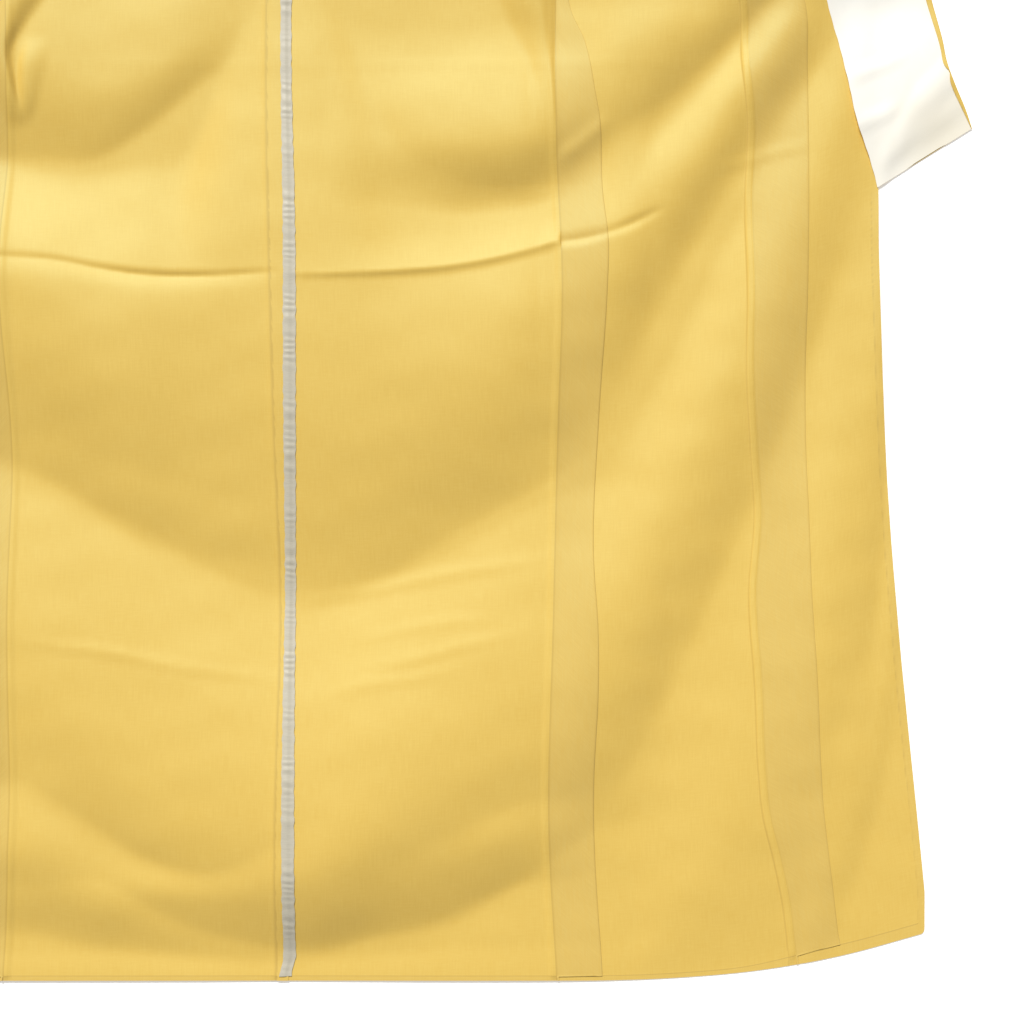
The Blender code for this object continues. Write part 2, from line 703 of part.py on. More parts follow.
def main():
    for old in list(bpy.data.objects):
        bpy.data.objects.remove(old, do_unlink=True)
    yellow = cloth_material("mustard cloth, inside", YELLOW, 0.75)
    yellow_outside = cloth_material("mustard cloth, outside", YELLOW_OUTSIDE, 0.75)
    cream = cloth_material("cream collar lining", CREAM, 0.5)
    grey = cloth_material("grey seam tape", GREY, 0.6)
    pieces = []
    for hand in (LEFT, RIGHT):
        pieces.append(body_panel(hand, yellow))
        pieces.append(overlap_panel(hand, yellow))
        pieces.append(sleeve(hand, yellow_outside))
    pieces += collar(yellow_outside, cream)
    pieces.append(seam_tape(grey))
    stand_on_origin(pieces)


main()
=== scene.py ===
import math

import bpy
import numpy as np
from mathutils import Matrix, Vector


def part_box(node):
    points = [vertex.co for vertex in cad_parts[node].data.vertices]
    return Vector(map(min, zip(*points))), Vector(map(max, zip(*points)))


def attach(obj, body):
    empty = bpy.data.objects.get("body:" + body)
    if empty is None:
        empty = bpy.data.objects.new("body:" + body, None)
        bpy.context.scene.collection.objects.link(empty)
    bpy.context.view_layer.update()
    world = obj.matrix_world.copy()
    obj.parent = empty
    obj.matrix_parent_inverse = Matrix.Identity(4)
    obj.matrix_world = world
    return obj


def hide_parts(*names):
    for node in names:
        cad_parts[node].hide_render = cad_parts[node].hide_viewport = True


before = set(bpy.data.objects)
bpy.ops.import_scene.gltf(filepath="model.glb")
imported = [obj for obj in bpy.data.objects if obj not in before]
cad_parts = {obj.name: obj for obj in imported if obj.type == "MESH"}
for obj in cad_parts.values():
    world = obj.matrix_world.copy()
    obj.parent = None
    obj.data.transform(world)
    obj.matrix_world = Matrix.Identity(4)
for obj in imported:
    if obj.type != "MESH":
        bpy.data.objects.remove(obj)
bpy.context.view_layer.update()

# The garment is laid out in centimetres: x right from the centre back, y up from the hem, z up from the floor.
cm = 0.01
sleeveTop = 156.5
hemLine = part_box("sleeve_right")[1].y / cm - sleeveTop
left, right = -1, 1

handNames = {left: "left", right: "right"}

cloth = {"thick": 0.06, "gap": 0.02, "seamGap": 0.03}

# Hem: level of its fold's edge, its width at the back and how much wider it gets at the corners, how far up
# its curve reaches, the dark line of its stitches with painted shade along the band's edge, and its doubled cloth
hem = {"rise": 0.004, "level": 0.9, "settleRun": 1.3, "backWidth": 0.5, "cornerExtra": 0.75, "cornerStart": 48,
       "cornerRun": 12, "curveReach": 60, "stitchLevel": 0.88, "stitchAndShadeLine": 0.55, "tone": 0.35}

# Seams: the flat ridge over an allowance, how strong the painted shade along seams and the dark line of cut edges
# (their threads and painted shadow) are, how a back climbs to its side seam, and where the side seam's allowance ends
seam = {"climb": 0.6, "climbExtra": 1.9, "climbStart": 104, "climbRun": 8, "lapEnd": 117.2, "fadeStart": 117,
        "fadeRun": 1.6, "edgeThin": 0.35, "centreRun": 0.8, "centreBlend": 0.75, "centreLap": 0.5, "underTape": 0.7,
        "sideRidge": 0.35, "ridge": 0.9, "rise": 0.03, "sideSeamShade": 0.4, "centreSeamShade": 0.38, "overlapSeamShade": 0.3,
        "stitchAndShadeLine": 0.25, "stitchAndShadeAt": 0.82, "edgeMark": 0.45, "overlapEdgeMark": 0.55}

layout = {"underarm": 119, "shoulderPoint": (31, 153), "neckPoint": (8.5, 142.6), "neckCentre": (0, 143.5),
          "shoulderFoldEnd": (7.6, 141.8), "collarEnd": 85, "rowsToShoulder": 52, "rowsOnShoulder": 44}

# y, centre seam x, left side seam distance, right side seam distance
backSeams = (
    (-0.5, -0.1, 29.6, 30), (16, 0, 28.7, 29.1), (40, 0.4, 28.8, 29.6), (60, -0.2, 28.6, 30.1),
    (75, -0.6, 29.5, 30.5), (90, -1, 29, 29.9), (105, -1.1, 28.9, 29.8), (119, -0.6, 30, 30),
)

# y, width of the side seam's allowance
sideAllowance = (
    (-0.5, 4.9), (12, 4.8), (21.5, 4.8), (31, 5), (37, 4.8), (45.5, 4.1), (60, 4.3), (74.5, 4.8),
    (79.5, 5), (84, 4.7), (92.5, 4.6), (95.5, 4.1), (98.5, 3.6), (100.8, 3), (103.6, 1.7), (110, 1.1),
    (119, 0.7),
)

# y, distance of the seam between front and overlap panel, distance where its allowance ends
overlapSeam = (
    (-0.5, 55.7, 60.6), (2, 55.5, 60.2), (7, 54.9, 59.6), (12, 53.9, 59), (16.6, 52.8, 58.5),
    (21.4, 52.3, 58.2), (31, 51.9, 57.8), (41, 51.3, 57.2), (50.3, 51.9, 56.9), (55, 51.6, 56.7),
    (65, 51, 56.6), (74, 51.1, 56.8), (84, 50.9, 56.9), (91, 51.2, 56.9), (98.4, 50.5, 56.8),
    (105, 50.2, 56.4), (112, 47.6, 53), (119, 43.9, 48.5),
)

# y, distance of the front edge up to the collar's end, then of the collar seam
outerEdge = (
    (4.5, 69.4), (20, 68), (36, 66.6), (55, 65.3), (70, 64.7), (80, 64.45), (83.8, 64.44),
    (85, 64.42), (89, 63.2), (91.8, 62.25), (94.2, 61.6), (96.1, 61.3), (98.4, 60.75), (105, 58.9),
    (112, 56.2), (119, 52.2),
)

# distance from the centre, y of the hem
hemCurve = ((0, -0.2), (30, -0.2), (34, -0.2), (43, 0.1), (51.7, 0.9), (60.2, 2.4), (69.5, 4.9))

# step along the crease, front panel's outer edge x and y, overlap panel's outer edge x and y
upperEdges = (
    (0, 43.9, 119, 52.2, 119), (1, 40.6, 124.3, 47, 125.2), (2, 37.2, 129.6, 41, 130.4),
    (3, 34.2, 133.9, 34.8, 134.2), (4, 28.4, 137.2, 28.4, 137.2), (5, 22.4, 139.5, 22.4, 139.5),
    (6, 16.2, 141.2, 16.2, 141.2), (7, 10.2, 142.5, 10.2, 142.5),
)
overlapTip = 3
creaseSteps = 7

# y, left edge of the tape
tapePath = ((0, 0.6), (30, 0.65), (60, 0.75), (80, 0.7), (100, 0.25), (125, 0.5), (143.5, 0.6))


def evenFold(roundAbove, roundBelow, above, below, line):
    # A fold whose reach above and below its crest is the same all along
    return roundAbove, roundBelow, tuple(spot + (above, below) for spot in line)


# Folds that run across: how round the sides above and below the crest are, and the crest as
# (x, y, height, reach above, reach below)
backFolds = {
    "waist swag": (1.6, 1.4, (
        (-42, 79, 0, 14, 18), (-33, 76, 2.1, 13, 20), (-25.4, 73.6, 2.85, 13.4, 20.3), (-18.9, 70, 2.75, 16.8, 20.3),
        (-14.7, 69.5, 2.6, 18, 23), (-10.4, 69.6, 2.25, 18.5, 24.5), (-4, 70.3, 2, 32, 28), (4.6, 68.5, 2.2, 42, 27),
        (11, 65.8, 2.2, 27, 23), (18.5, 66.2, 2.15, 20, 19), (26, 69.5, 2, 15.6, 18), (33, 74, 0.95, 14, 18),
        (40, 79, 0, 14, 17))),
    "upper left": (2, 1.2, (
        (-38, 97, 0, 18, 9), (-30, 98, 1.2, 20, 10), (-25.4, 98.3, 1.4, 18, 10.4), (-18.9, 95.8, 1.15, 17, 7.6),
        (-14.7, 97, 1, 15, 6.2), (-10.4, 99.5, 0.8, 14, 5.2), (-7.2, 101.5, 0.4, 13, 4.5), (-4, 103.5, 0, 12, 4))),
    "right shelf": (2, 2.1, (
        (5, 91, 0, 12, 8), (11, 90.6, 0.8, 12, 8), (15, 90.2, 1.3, 12, 8), (18.5, 89.8, 1.6, 12.5, 8),
        (23, 90, 1.75, 13, 8), (26.5, 90.6, 1.75, 12, 8.2), (31, 91.9, 0.95, 9, 8), (38, 94.5, 0, 8, 8))),
    "hip swag": (1.35, 1.4, (
        (-44, 40, 0, 22, 24), (-36, 36, 1.3, 22, 24), (-25.4, 32, 1.9, 22.5, 22), (-18.9, 25.5, 2, 25, 15),
        (-14.7, 21.8, 2, 27, 13.6), (-10.4, 19.8, 2.1, 26, 14), (-4, 17.5, 2.3, 25, 13.6), (4.6, 16.4, 2.7, 24, 13.6),
        (11, 18.8, 2.8, 24, 14.4), (18.5, 23, 2.4, 23, 17.2), (26, 27, 1.75, 23, 17), (33, 31, 1.1, 22, 16),
        (42, 34, 0, 20, 16))),
    "hem swag": (2, 1.7, (
        (-42, 13.5, 0, 8, 9), (-33, 13.5, 0.9, 8, 9), (-25.4, 12.7, 1.25, 8.2, 8.6), (-23, 11.7, 1.2, 7.4, 8),
        (-18.9, 9.8, 1.1, 6.6, 6.8), (-14.7, 9, 0.85, 4.6, 6.2), (-10.4, 8.5, 0.6, 3.6, 6.2),
        (-6, 8.4, 0.45, 3.6, 6.6), (-1.8, 8.5, 0.45, 5.5, 7), (3.5, 8.8, 0.45, 9, 7.4), (7.8, 9.6, 0.35, 11, 7.6),
        (13, 10.5, 0.2, 10, 7.5), (20, 12, 0, 9, 7))),
    "hem swag right": evenFold(2, 1.3, 4.5, 4.8, (
        (10, 8.4, 0), (18.5, 11.6, 0.25), (26, 14.8, 0.4), (31, 15.4, 0.25), (37, 17, 0))),
    "hem edge": (1.6, 1.5, (
        (-44, 0.4, 0, 2.6, 2), (-34, 0, 0.18, 3, 2), (-20, 0, 0.2, 3, 2), (-10, 0, 0.18, 2.4, 2), (0, 0, 0.12, 2, 2),
        (8, 0, 0.14, 2.4, 2), (18, 0, 0.2, 3.4, 2), (28, 0, 0.18, 4, 2), (40, 0.3, 0, 4, 2))),
    "thigh ripple": evenFold(2, 1.5, 4, 3.5, (
        (-30, 56, 0), (-25, 55, 0.1), (-19, 52.5, 0.15), (-10.4, 49.5, 0.14), (-4, 48, 0.1), (2, 47, 0))),
    "chest swag": (2, 1.4, (
        (-28, 118, 0, 9, 6), (-21, 115.6, 1, 9, 6), (-12, 113.2, 1.9, 9, 6), (0, 112, 2.2, 9, 5.5),
        (12, 113, 2, 9, 6), (21, 115.4, 1.1, 9, 6), (28, 118, 0, 9, 6))),
    "shoulder swag": evenFold(2, 1.4, 7, 6.5, (
        (-17, 129, 0), (-13, 127.6, 0.8), (-7, 126, 1.8), (0, 125.4, 2.1), (7, 125.9, 1.8), (13, 127.3, 0.8),
        (17, 129, 0))),
    "nape swag": evenFold(2, 1.5, 4, 4.5, (
        (-9, 137.6, 0), (-4, 136.5, 0.8), (0, 136.3, 1), (4, 136.4, 0.8), (9, 137.4, 0))),
}

# The same on the fronts and sleeves, with x counted outward from the centre
frontFolds = {
    "upper band": (1.6, 2.2, (
        (27, 96.5, 0, 9, 10), (33, 98.6, 0.9, 11, 12), (36.7, 99.8, 1.6, 12, 16), (41, 101.2, 1.8, 10, 11.8),
        (45.3, 103, 1.4, 8, 9), (50, 106.8, 1.1, 8, 7.6), (54, 109.5, 0.8, 8, 7), (60, 112, 0, 8, 7))),
    "middle band": (1.8, 2.6, (
        (28, 72, 0, 12, 17), (33.5, 76, 0.7, 13, 18.5), (36.7, 79.6, 1.15, 12, 18), (41, 84, 1.3, 10, 14),
        (45.3, 89.2, 1.2, 8.5, 11), (49.5, 95, 1.15, 7, 10), (53.8, 100.4, 1.1, 6, 9.6), (59, 106, 0.4, 7, 8),
        (67, 111, 0, 8, 10))),
    "lower band": (1.8, 1.7, (
        (29, 31.5, 0, 18, 20), (33, 35, 0.65, 18, 20), (36.7, 40, 0.9, 18, 20), (41, 48, 1.1, 17, 20),
        (45.3, 57, 1.15, 17, 20), (49.5, 66, 1.1, 17, 19), (53.8, 75, 1.05, 17, 18), (59.2, 87.7, 0.6, 13, 16),
        (64, 99, 0, 12, 14))),
    "edge band": (1.8, 1.8, (
        (38, 2, 0, 24, 4), (44.5, 12, 0.4, 26, 12), (49.5, 20.3, 0.75, 28, 19), (53.8, 26, 0.9, 30, 24),
        (59.2, 40, 1, 32, 34), (64, 60, 0.35, 26, 30), (66, 84, 0, 20, 20))),
    "corner band": evenFold(1.8, 1.8, 14, 10, ((56, 6, 0), (60, 14.5, 0.3), (64, 26, 0.3), (67, 40, 0))),
    "sleeve fold": evenFold(2, 1.6, 9, 10, (
        (32, 121, 0), (42, 127, 0.7), (54, 134, 1), (64, 139, 0.8), (74, 143, 0))),
}
leftShift, leftScale = 1.5, 0.9

# Folds that run down: crest as (y, x, height, reach left, reach right)
seamPleats = {
    "left seam pleat": (
        (91.5, -27.5, 0, 2, 0.5), (93, -27.8, 0.25, 2, 0.5), (96, -28.5, 0.5, 2.2, 0.6), (99.9, -29.1, 0.7, 2.4, 0.9),
        (102.5, -28.7, 0.9, 2.6, 2), (106, -27.8, 1.15, 3, 3.4), (117, -27, 0, 3, 3)),
    "left lobe": (
        (91.8, -27.1, 0, 0.8, 0.8), (93.2, -26.9, 0.22, 0.9, 1.1), (96, -26.8, 0.38, 1, 1.8),
        (98.6, -26.7, 0.34, 1, 2.4), (100.8, -26.2, 0, 1, 2.4)),
    "right seam pleat": (
        (91, 29.5, 0, 1.5, 0.4), (94, 29.4, 0.12, 1.5, 0.4), (98.5, 28.9, 0.4, 2.4, 0.8), (102, 28.3, 0.8, 3.4, 1.5),
        (106, 27.7, 1.15, 4.5, 2.2), (117, 27, 0, 4.5, 2.4)),
}

# Pressed creases: the same rows, raised or sunk
pressedCreases = {
    "left": (
        (-40, 77.6, 0, 1.2, 2.4), (-30, 77.4, -0.14, 1, 2.4), (-23, 76.9, -0.2, 0.9, 2.2),
        (-18.9, 76.1, -0.26, 0.9, 2.2), (-14.7, 75.5, -0.32, 0.9, 2.2), (-10.4, 75.3, -0.3, 0.9, 2.2),
        (-6, 75.4, -0.2, 0.8, 2), (-1, 75.7, -0.08, 0.8, 1.6), (0.4, 75.7, 0, 1, 1)),
    "right": (
        (0.4, 75.6, 0, 3, 0.8), (3, 75.5, 0.12, 3.4, 0.9), (7.5, 75.6, 0.2, 4, 0.9), (13, 75.9, 0.3, 4, 1),
        (18.5, 76.4, 0.32, 4, 1.1), (24, 77.4, 0.32, 4, 1.1), (27.5, 78.3, 0.26, 3.6, 1.1), (30.1, 79, 0.12, 3, 1),
        (30.4, 79, 0, 3, 0.8)),
    "side": (
        (30.3, 79, -0.2, 1.3, 1), (33, 79.4, -0.24, 1.4, 1.1), (35.4, 80, -0.16, 1.2, 1), (38, 81, -0.24, 1.1, 1.3),
        (40.5, 82.3, -0.1, 0.9, 1), (41.5, 82.9, 0, 0.8, 0.8)),
    "strip pinch": (
        (29.9, 88, 0, 1.6, 4), (30.6, 88.4, 0.2, 1.8, 4.6), (32.4, 89.6, 0.26, 2, 5), (34.3, 91.2, 0.2, 2, 5),
        (36, 92.5, 0, 1.6, 4)),
}

# Small creases and wrinkles that run across
smallCreases = {
    "low crease left": evenFold(1.4, 1.4, 0.9, 0.6, (
        (-28, 36.4, 0), (-24, 35.8, 0.06), (-17, 34.9, 0.09), (-11, 33.6, 0.07), (-4, 32.6, 0.05), (1, 32, 0))),
    "hip crease right": evenFold(1.4, 1.4, 1, 0.7, (
        (1, 40, 0), (5, 40.7, 0.04), (11, 41.8, 0.07), (18.5, 43.4, 0.08), (25, 44.4, 0.05), (31, 45.4, 0))),
    "wrinkle 1": evenFold(1.4, 1.4, 0.8, 0.8, ((8, 36, 0), (13, 37.4, 0.05), (19, 38.4, 0.05), (25, 38.6, 0))),
    "wrinkle 2": evenFold(1.4, 1.4, 0.9, 0.7, ((9, 33.2, 0), (14, 34.2, 0.06), (20, 35.8, 0.06), (27, 37.2, 0))),
    "wrinkle 3": evenFold(1.4, 1.4, 0.8, 0.8, ((4, 30, 0), (9, 31.6, 0.05), (15, 32.4, 0.05), (21, 33.8, 0))),
    "stored line": evenFold(1.5, 1.5, 0.5, 0.4, (
        (-30, 98.2, 0), (-12, 98, 0.02), (4, 97.8, 0.025), (20, 98.1, 0.03), (40, 98, 0.02), (60, 97.6, 0))),
    "overlap crease": evenFold(1.4, 1.4, 0.8, 0.6, (
        (46, 86.5, 0), (50, 87.6, 0.07), (54, 88.8, 0.09), (58, 89.6, 0))),
}

# Cloth smoothed by hand is never quite flat: wavelength, direction in degrees, phase, height
waves = (
    (9.3, 74, 0.4, 0.016), (6.1, 101, 2.1, 0.01), (12.7, 38, 1.2, 0.016), (4.3, 63, 4, 0.005),
    (7.7, 12, 5.1, 0.006), (5.2, 118, 3.3, 0.006),
)
liftOfWaves = 0.06

# Fronts and collar lie over the sleeves and over the turned shoulder: height, start and run along y, then outward
frontOver = {"sleeve": (0.34, 103.6, 4.6, 28.8, 2.6), "shoulder": (0.36, 110, 7, 1, 8)}

creaseSharpness, pleatRoundness = 2.2, 1.6


def softStep(t):
    t = np.clip(t, 0, 1)
    return t * t * (3 - 2 * t)


def readCurve(at, table, column):
    # Smooth reading of one column of a table at places along its first column
    rows = np.array(table, float)
    place, value = rows[:, 0], rows[:, column]
    slope = np.gradient(value, place)
    at = np.clip(at, place[0], place[-1])
    k = np.clip(np.searchsorted(place, at) - 1, 0, len(place) - 2)
    step = place[k + 1] - place[k]
    u = (at - place[k]) / step
    blend = u * u * (3 - 2 * u)
    rise = (u ** 3 - 2 * u ** 2 + u) * slope[k] + (u ** 3 - u ** 2) * slope[k + 1]
    return value[k] + blend * (value[k + 1] - value[k]) + step * rise


def crestAt(along, aside, crest, highSide, lowSide):
    # Height of a crest at places along it, and how far off it each place lies, as a share of its reach there
    inside = (along >= crest[0][0]) & (along <= crest[-1][0])
    off = aside - readCurve(along, crest, 1)
    reach = np.where(off > 0, readCurve(along, crest, highSide), readCurve(along, crest, lowSide))
    return inside * readCurve(along, crest, 2), off / reach


def foldAcross(x, y, fold):
    # A fold that runs across the garment
    roundAbove, roundBelow, crest = fold
    height, off = crestAt(x, y, crest, 3, 4)
    return height * np.clip(1 - off * off, 0, 1) ** np.where(off > 0, roundAbove, roundBelow)


def foldSharp(x, y, fold):
    # A crease pressed in: steepest at its line, fading out on both sides
    height, off = crestAt(x, y, fold, 3, 4)
    return height * np.clip(1 - np.abs(off), 0, 1) ** creaseSharpness


def foldDown(x, y, fold):
    # A fold that runs down the garment
    height, off = crestAt(y, x, fold, 4, 3)
    return height * np.clip(1 - off * off, 0, 1) ** pleatRoundness


def unevenness(x, y):
    total = liftOfWaves
    for length, turn, phase, height in waves:
        along = x * math.cos(math.radians(turn)) + y * math.sin(math.radians(turn))
        total = total + height * np.sin(2 * math.pi * along / length + phase + 0.8 * np.sin(x / 11 + y / 17))
    return total


def clothLie(x, y):
    # How far the folds raise the cloth off the floor
    height = sum(foldAcross(x, y, fold) for fold in backFolds.values())
    height = height + sum(foldDown(x, y, fold) for fold in seamPleats.values())
    for fold in frontFolds.values():
        onRight = foldAcross(x, y, fold)
        onLeft = leftScale * foldAcross(-x, y - leftShift, fold)
        height = height + np.where(x > 0, onRight, onLeft)
    height = height + sum(foldSharp(x, y, fold) for fold in pressedCreases.values())
    height = np.maximum(height, 0)
    height = height + sum(foldAcross(x, y, fold) for fold in smallCreases.values())
    return height + unevenness(x, y) * softStep((y - hemY(x) + 0.4) / 6)


def frontLift(x, y):
    lifts = [height * softStep((y - yStart) / yRun) * softStep((np.abs(x) - outStart) / outRun)
             for height, yStart, yRun, outStart, outRun in frontOver.values()]
    return np.maximum(*lifts)


def upperLie(plan, hand):
    # Height of the fronts, their allowances and the overlap panels
    x, y = plan[..., 0] * hand, plan[..., 1]
    return clothLie(x, y) + frontLift(x, y)


def hemY(out):
    return readCurve(np.abs(out), hemCurve, 1)


def rowY(out, level):
    # Rows follow the hem's curve near it; the hem's band is narrower at the back than at the corners
    band = hem["backWidth"] + hem["cornerExtra"] * softStep((np.abs(out) - hem["cornerStart"]) / hem["cornerRun"])
    settled = np.clip((hem["level"] + hem["settleRun"] - level) / hem["settleRun"], 0, 1)
    nearHem = np.where(level < hem["level"], level / hem["level"], settled)
    return level - (hem["level"] - band) * nearHem + hemY(out) * (1 - softStep(level / hem["curveReach"]))


def rowLevels():
    # Closer rows in the hem, at the pressed creases and above the collar's end
    body = np.concatenate([np.arange(2.4, 74, 0.56), np.arange(74, 83.5, 0.26),
                           np.linspace(83.6, layout["underarm"], 62)])
    body[np.argmin(np.abs(body - layout["collarEnd"]))] = layout["collarEnd"]
    return np.concatenate([[0, 0.1, 0.3, 0.6, 0.8, 0.88, 0.96, 1.1, 1.4, 1.85], body])


def hemRise(level):
    return hem["rise"] * (level < hem["level"])


def stitchAndShadeLine(level):
    # A fine dark line along the top of the hem: its stitches, with painted shade along the band's edge
    return hem["stitchAndShadeLine"] * (np.abs(level - hem["stitchLevel"]) < 0.05)


def mix(start, end, share):
    return start + (end - start) * share


def tuckInHem(plan, level):
    # An allowance is cut back inside the hem, so that the hem lies flat over its end
    plan = plan.copy()
    inHem = level < hem["stitchLevel"] - 0.01
    narrow = np.where(inHem, 0.04, 1.0)
    plan[..., 0] = plan[:, :1, 0] + (plan[..., 0] - plan[:, :1, 0]) * narrow
    plan[..., 1] = np.where(inHem, rowY(plan[..., 0], level), plan[..., 1])
    return plan


levels = rowLevels()[:, None]
# Columns over an allowance, as shares of its width, then those at the centre seam
lapShares = np.array([0, 0.03, 0.1, 0.2, 0.3, 0.42, 0.54, 0.66, 0.78, 0.88, 0.95, 0.98, 1])
centreShares = (0, 0.06, 0.16, 0.36, 0.6, 0.84, 1)

# How far round a fold the rows of turned cloth lie
bends = (0.25, 0.5, 0.75)


def sideOf(hand, y):
    return readCurve(y, backSeams, 2 if hand == left else 3)


def tapeLeft(y):
    return readCurve(np.minimum(y, layout["underarm"]), tapePath, 1)


def stack(x, y):
    return np.stack([x, y], axis=-1)


def backPlan(hand):
    # Plan of a back panel below the underarm and of its armhole rows up to the shoulder, outward x
    centre = readCurve(levels, backSeams, 1) * hand + cloth["seamGap"] / 2
    side = sideOf(hand, levels) - cloth["seamGap"] / 2
    neck = layout["neckPoint"][0]
    if hand == right:
        lapEnd = tapeLeft(levels) + seam["centreLap"]
        tapeEnd = lapEnd + seam["underTape"]
        inner = [mix(centre, lapEnd, s) for s in centreShares]
        inner += [mix(lapEnd, tapeEnd, s) for s in (0.5, 1)]
        inner += [mix(tapeEnd, neck, s) for s in np.arange(1, 12) / 12]
    else:
        inner = [centre + d for d in (0, 0.1, 0.22, 0.35, 0.55, 0.8)]
        inner += [mix(centre + 0.8, neck, s) for s in np.arange(1, 14) / 14]
    climb = side - seam["sideRidge"] - climbWidth(levels)
    outer = [mix(neck, climb, s) for s in 1 - (1 - np.arange(0, 38) / 38) ** 1.3]
    outer += [mix(climb, side - seam["sideRidge"], s) for s in (0, 0.33, 0.66, 1)]
    outer += [side - d for d in (0.24, 0.13, 0.05, 0)]
    out = np.hstack([column + 0 * levels for column in inner + outer])
    plan = stack(out, rowY(out, levels))

    low = plan[-1]
    share = (low[:, 0] - centre[-1]) / (neck - centre[-1])
    centreTop = np.array([cloth["seamGap"] / 2, layout["neckCentre"][1]])
    neckTop = np.array(layout["neckPoint"])
    beyond = (low[:, 0] - neck) / (low[-1, 0] - neck)
    high = mix(centreTop, neckTop, np.clip(share, 0, 1)[:, None])
    high = high + (np.array(layout["shoulderPoint"]) - neckTop) * np.clip(beyond, 0, 1)[:, None]
    up = np.concatenate([np.linspace(0, 1, layout["rowsToShoulder"])[1:-1], [0.985, 0.992, 1]])
    armhole = mix(low[None], high[None], up[:, None, None])
    return np.concatenate([plan, armhole]), len(inner)


def climbWidth(y):
    # Over how much of its width a back panel climbs to its side seam
    return seam["climb"] + seam["climbExtra"] * softStep((y - seam["climbStart"]) / seam["climbRun"])


def upperEdgeAt(s, column):
    # A panel's outer edge above the underarm, from the columns of its x and y
    return stack(readCurve(s, upperEdges, column), readCurve(s, upperEdges, column + 1))


def creaseAt(hand, s):
    # The fold along which a front turns over, from the underarm to the neck
    start = np.array([sideOf(hand, layout["underarm"]) + cloth["seamGap"] / 2, layout["underarm"]])
    return mix(start, np.array(layout["shoulderFoldEnd"]), np.asarray(s)[..., None] / creaseSteps)


def fannedPlan(columns, start, end):
    # Straight rows to the underarm, then rows that fan out between two edges
    out = np.hstack([column + 0 * levels for column in columns])
    share = (out[-1] - out[-1, 0]) / (out[-1, -1] - out[-1, 0])
    return np.concatenate([stack(out, rowY(out, levels)), mix(start[:, None], end[:, None], share[None, :, None])])


def frontPlan(hand, fan):
    # Plan of a front, from its side seam and the crease to the overlap panel's seam
    side = sideOf(hand, levels) + cloth["seamGap"] / 2
    seamLine = readCurve(levels, overlapSeam, 1) - cloth["seamGap"] / 2
    lap = readCurve(levels, sideAllowance, 1)
    columns = [side + lap * s for s in lapShares]
    columns += [mix(side + lap, seamLine - 0.95, s) for s in np.arange(1, 28) / 27]
    columns += [seamLine - d for d in (0.86, 0.78, 0.7, 0.5, 0.3, 0.18, 0.1, 0.04, 0)]
    return fannedPlan(columns, creaseAt(hand, fan), upperEdgeAt(fan, 1))


def overlapPlan(fan):
    # Plan of an overlap panel, from its seam to its free edge or the collar
    seamLine = readCurve(levels, overlapSeam, 1) + cloth["seamGap"] / 2
    edge = readCurve(levels, outerEdge, 1)
    lapEnd = readCurve(levels, overlapSeam, 2)
    columns = [mix(seamLine, lapEnd, s) for s in lapShares]
    columns += [mix(lapEnd, edge - 0.9, s) for s in np.arange(1, 12) / 12]
    columns += [edge - d for d in (0.9, 0.82, 0.74, 0.58, 0.44, 0.3, 0.15, 0.05, 0)]
    fan = fan[fan <= overlapTip + 1e-6]
    return fannedPlan(columns, upperEdgeAt(fan, 1) + (cloth["seamGap"], 0), upperEdgeAt(fan, 3))


def faces(plan, level, hand, thick):
    # Inner and outer face of a wall over a plan; the garment lies face down, its inner face on top
    x, y = plan[..., 0] * hand, plan[..., 1]
    return tuple(np.stack([x, y, height + 0 * x], axis=-1) for height in (level + thick, level))


def toFrame(points):
    return (points + np.array([0, hemLine, 0])) * cm


def clothGrid(name, inner, outer, doubledAndEndShade=0.0, linesAndShade=0.0):
    # A flat grid with a column for each step across the cloth and a row for each step along it, moved onto
    # the cloth's inner face. The outer face, the weave's direction and the marks, painted shade among them, are kept
    # with its points.
    rows, columns = inner.shape[:2]
    bpy.ops.object.select_all(action="DESELECT")
    bpy.ops.mesh.primitive_grid_add(x_subdivisions=columns - 1, y_subdivisions=rows - 1, size=1)
    piece = bpy.context.object
    piece.name = name
    mesh = piece.data
    flat = np.zeros(len(mesh.vertices) * 3, np.float32)
    mesh.vertices.foreach_get("co", flat)
    flat = flat.reshape(-1, 3)
    column = np.rint((flat[:, 0] + 0.5) * (columns - 1)).astype(int)
    row = np.rint((flat[:, 1] + 0.5) * (rows - 1)).astype(int)
    inner, outer = toFrame(inner), toFrame(outer)
    mesh.vertices.foreach_set("co", inner[row, column].astype(np.float32).ravel())
    for label, points in (("innerFace", inner), ("outerFace", outer)):
        kept = mesh.attributes.new(label, "FLOAT_VECTOR", "POINT")
        kept.data.foreach_set("vector", points[row, column].astype(np.float32).ravel())
    shape = np.zeros((rows, columns))
    for label, value in (("doubledAndEndShade", doubledAndEndShade), ("linesAndShade", linesAndShade)):
        kept = mesh.attributes.new(label, "FLOAT", "POINT")
        kept.data.foreach_set("value", (shape + value)[row, column].astype(np.float32))
    across = np.concatenate([shape[:, :1], np.linalg.norm(np.diff(inner, axis=1), axis=2).cumsum(1)], axis=1)
    along = np.concatenate([shape[:1], np.linalg.norm(np.diff(inner, axis=0), axis=2).cumsum(0)])
    corner = np.zeros(len(mesh.loops), int)
    mesh.loops.foreach_get("vertex_index", corner)
    weave = stack(across[row, column], along[row, column])[corner]
    mesh.uv_layers.active.data.foreach_set("uv", weave.astype(np.float32).ravel())
    return piece


sewing = {"joinWithin": 0.00002, "wall": 0.0005, "smoothAngle": 50}


